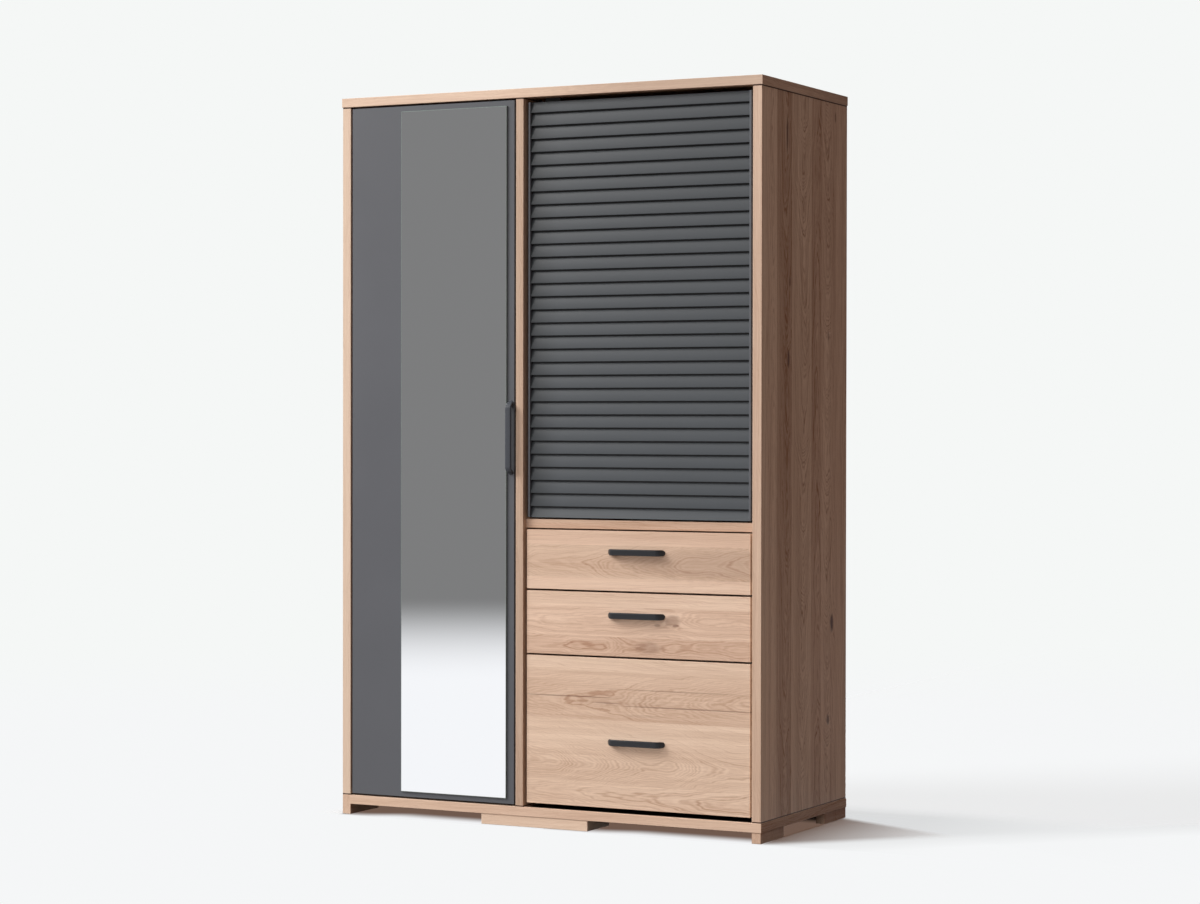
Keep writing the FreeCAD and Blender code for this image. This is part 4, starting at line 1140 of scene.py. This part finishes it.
def new_light(name, kind, azimuth, elevation, strength, colour, receivers, glossy=False):
    """A light that looks at the middle of the piece. Azimuth 0 is in front, and turns to the left."""
    light = bpy.data.lights.new(name, kind)
    light.energy = strength
    light.color = colour
    left = math.radians(azimuth)
    high = math.radians(elevation)
    level = math.cos(high)
    towards = Vector((-math.sin(left) * level, -math.cos(left) * level, math.sin(high)))
    place = shown(name, light)
    place.matrix_world = (Matrix.Translation(Vector((0, 0, 1)) + towards * LIGHT_DISTANCE)
                          @ towards.to_track_quat("Z", "Y").to_matrix().to_4x4())
    place.visible_glossy = glossy
    place.light_linking.receiver_collection = receivers
    return light


def add_lights(settings, floor):
    """Soft lights for the piece, and two of their own for the floor, so that it stays even."""
    piece_only = bpy.data.collections.new("Lit as the piece")
    piece_only.objects.link(floor)
    piece_only.collection_objects[0].light_linking.link_state = "EXCLUDE"
    floor_only = bpy.data.collections.new("Lit as the floor")
    floor_only.objects.link(floor)
    key = new_light("Key light", "AREA", 56, 33, settings.key, KEY_COLOUR, piece_only, glossy=True)
    key.shape = "SQUARE"
    key.size = KEY_SIZE
    for name, azimuth, elevation, spread, strength, colour, receivers in (
            ("Front light", 12, 22, 60, settings.front, FILL_COLOUR, piece_only),
            ("Top light", 20, 82, 70, settings.top, FILL_COLOUR, piece_only),
            ("Back light", 148, 25, 60, settings.back, FILL_COLOUR, piece_only),
            ("Floor low", 54, 21, 26, FLOOR_LOW_STRENGTH, FLOOR_LIGHT_COLOUR, floor_only)):
        sun = new_light(name, "SUN", azimuth, elevation, strength, colour, receivers)
        sun.angle = math.radians(spread)
    panel = new_light("Floor overhead", "AREA", 0, 90, OVERHEAD_POWER, FLOOR_LIGHT_COLOUR, floor_only)
    panel.shape = "RECTANGLE"
    panel.size, panel.size_y = OVERHEAD_SIZE
    bpy.data.objects["Floor overhead"].matrix_world = Matrix.Translation(OVERHEAD_PLACE)


def light_paths(tree):
    """The masks of glossy rays and of camera rays."""
    rays = signals(tree.nodes.new("ShaderNodeLightPath"))
    return rays["Is Glossy Ray"], rays["Is Camera Ray"]


def add_world(settings):
    """Plain background; a dimmer, warmer room for what the piece receives."""
    world = bpy.data.worlds.new("Studio")
    bpy.context.scene.world = world
    tree = emptied(world)
    glossy, camera = light_paths(tree)
    room = mixed(glossy, ROOM_COLOUR, full(settings.far_wall))
    sky = add(tree, "ShaderNodeBackground", {"Color": mixed(camera, room, full(settings.background))})
    connect(tree.nodes.new("ShaderNodeOutputWorld"), {0: sky})


def emission(tree, colour):
    return add(tree, "ShaderNodeEmission", {"Color": colour})


def diffuse(tree, colour):
    return add(tree, "ShaderNodeBsdfDiffuse", {"Color": colour})


def blended(mask, first, second):
    """Two shaders mixed."""
    return add(mask.tree, "ShaderNodeMixShader", {0: mask, 1: first, 2: second})


def painted_light_below(place):
    """Where the floor below the bottom board gets painted light as if lit from the front, and how
    brightly, from 0 to 1.
    """
    across, depth = split(place)[:2]
    left_foot = eased(across, *LEFT_FOOT_SHADE)
    centre_foot = (across > 0.0) * eased(across, *CENTRE_FOOT_SHADE)
    share = eased(depth + left_foot + centre_foot, *BELOW_DEPTH)
    inside = eased(abs(across), *BELOW_SIDES) * (depth < BELOW_BACK) * remapped(depth, *BELOW_FRONT)
    return inside, share


def painted_floor_light(lit, place):
    """The lit floor under painted light: plain in front and on the left, its painted shadow held between
    two slanting edges.
    """
    across, depth = split(place)[:2]

    def over(shader, mask, level):
        """The floor's white at a level, glowing as painted light, laid over a shader."""
        white = add(place.tree, "ShaderNodeVectorMath", {0: FLOOR_WHITE, "Scale": level},
                    operation="SCALE")
        return blended(mask, shader, emission(place.tree, white))

    rear = eased(across * REAR_SLOPE + depth, *REAR_EDGE) * eased(depth, *REAR_END)
    lit = over(lit, rear, remapped(across, *REAR_LEVEL))
    front = across - depth
    lit = over(lit, eased(front, *FRONT_EDGE) * FRONT_SHARE, remapped(front, *FRONT_LEVEL))
    plain = maths("MAXIMUM", eased(depth, *PLAIN_FRONT), eased(across, *PLAIN_LEFT))
    return over(lit, plain, 1.0)


def floor_material(settings):
    """Pale floor that fades into the background, and into the far wall where the mirror sees it."""
    material = bpy.data.materials.new("Studio floor")
    tree = emptied(material)
    glossy, camera = light_paths(tree)
    place = coordinates(tree, "Object")
    away = add(tree, "ShaderNodeVectorMath", {0: place}, "Value", operation="LENGTH")
    # the lit floor, with the painted warm glow added
    lit = add(tree, "ShaderNodeAddShader",
              {0: diffuse(tree, FLOOR_COLOUR), 1: emission(tree, FLOOR_PAINTED_GLOW)})
    seen = blended(eased(away, 2.6, 6.5), painted_floor_light(lit, place),
                   emission(tree, full(settings.background)))
    # painted light and shade below the bottom board, as glowing colour
    below, share = painted_light_below(place)
    shade = scaled(mixed(share, BELOW_PAINTED_SHADE, BELOW_PAINTED_LIGHT), remapped(split(place)[1], *BELOW_REAR))
    seen = blended(below, seen, emission(tree, shade))
    glow = mixed(eased(away, 4.6, 10.6), MIRRORED_FLOOR, full(settings.far_wall))
    other = blended(glossy, diffuse(tree, FLOOR_BOUNCE), emission(tree, glow))
    connect(tree.nodes.new("ShaderNodeOutputMaterial"), {0: blended(camera, other, seen)})
    return material


class CHIFFOROBE_OT_stage(bpy.types.Operator):
    """Camera, pale floor and soft studio lights"""
    bl_idname = "chifforobe.stage"
    bl_label = "Stage"

    def execute(self, context):
        settings = context.scene.chifforobe_stage
        context.scene.view_settings.view_transform = "Standard"
        add_camera()
        add_world(settings)
        mesh = bpy.data.meshes.new("Floor")
        corners = [(x * FLOOR_HALF, y * FLOOR_HALF, 0.0)
                   for x, y in ((-1, -1), (1, -1), (1, 1), (-1, 1))]
        mesh.from_pydata(corners, [], [(0, 1, 2, 3)])
        mesh.materials.append(floor_material(settings))
        floor = shown("Floor", mesh)
        add_lights(settings, floor)
        return {"FINISHED"}


# ---------------------------------------------------------------- panel and registration
SETTINGS = (
    ("chifforobe_handles", ChifforobeHandles),
    ("chifforobe_louvre", ChifforobeLouvre),
    ("chifforobe_screws", ChifforobeScrews),
    ("chifforobe_finishes", ChifforobeFinishes),
    ("chifforobe_stage", ChifforobeStage),
)
STEPS = (
    CHIFFOROBE_OT_oak,
    CHIFFOROBE_OT_doors,
    CHIFFOROBE_OT_inside,
    CHIFFOROBE_OT_fittings,
    CHIFFOROBE_OT_handles,
    CHIFFOROBE_OT_slats,
    CHIFFOROBE_OT_screws,
    CHIFFOROBE_OT_stage,
)


class CHIFFOROBE_PT_panel(bpy.types.Panel):
    """Sizes and colours, and the steps that use them"""
    bl_idname = "CHIFFOROBE_PT_panel"
    bl_label = "Chifforobe"
    bl_space_type = "VIEW_3D"
    bl_region_type = "UI"
    bl_category = "Chifforobe"

    def draw(self, context):
        for name, group in SETTINGS:
            box = self.layout.box()
            settings = getattr(context.scene, name)
            for key in group.__annotations__:
                box.prop(settings, key)
        for step in STEPS:
            self.layout.operator(step.bl_idname)


def register():
    for name, group in SETTINGS:
        bpy.utils.register_class(group)
        setattr(bpy.types.Scene, name, PointerProperty(type=group))
    for kind in STEPS + (CHIFFOROBE_PT_panel,):
        bpy.utils.register_class(kind)


def unregister():
    for kind in reversed(STEPS + (CHIFFOROBE_PT_panel,)):
        bpy.utils.unregister_class(kind)
    for name, group in reversed(SETTINGS):
        delattr(bpy.types.Scene, name)
        bpy.utils.unregister_class(group)


def main():
    register()
    bpy.ops.chifforobe.stage()
    bpy.ops.chifforobe.oak()
    bpy.ops.chifforobe.doors()
    bpy.ops.chifforobe.inside()
    bpy.ops.chifforobe.fittings()
    bpy.ops.chifforobe.handles()
    bpy.ops.chifforobe.slats()
    bpy.ops.chifforobe.screws()


if __name__ == "__main__":
    main()
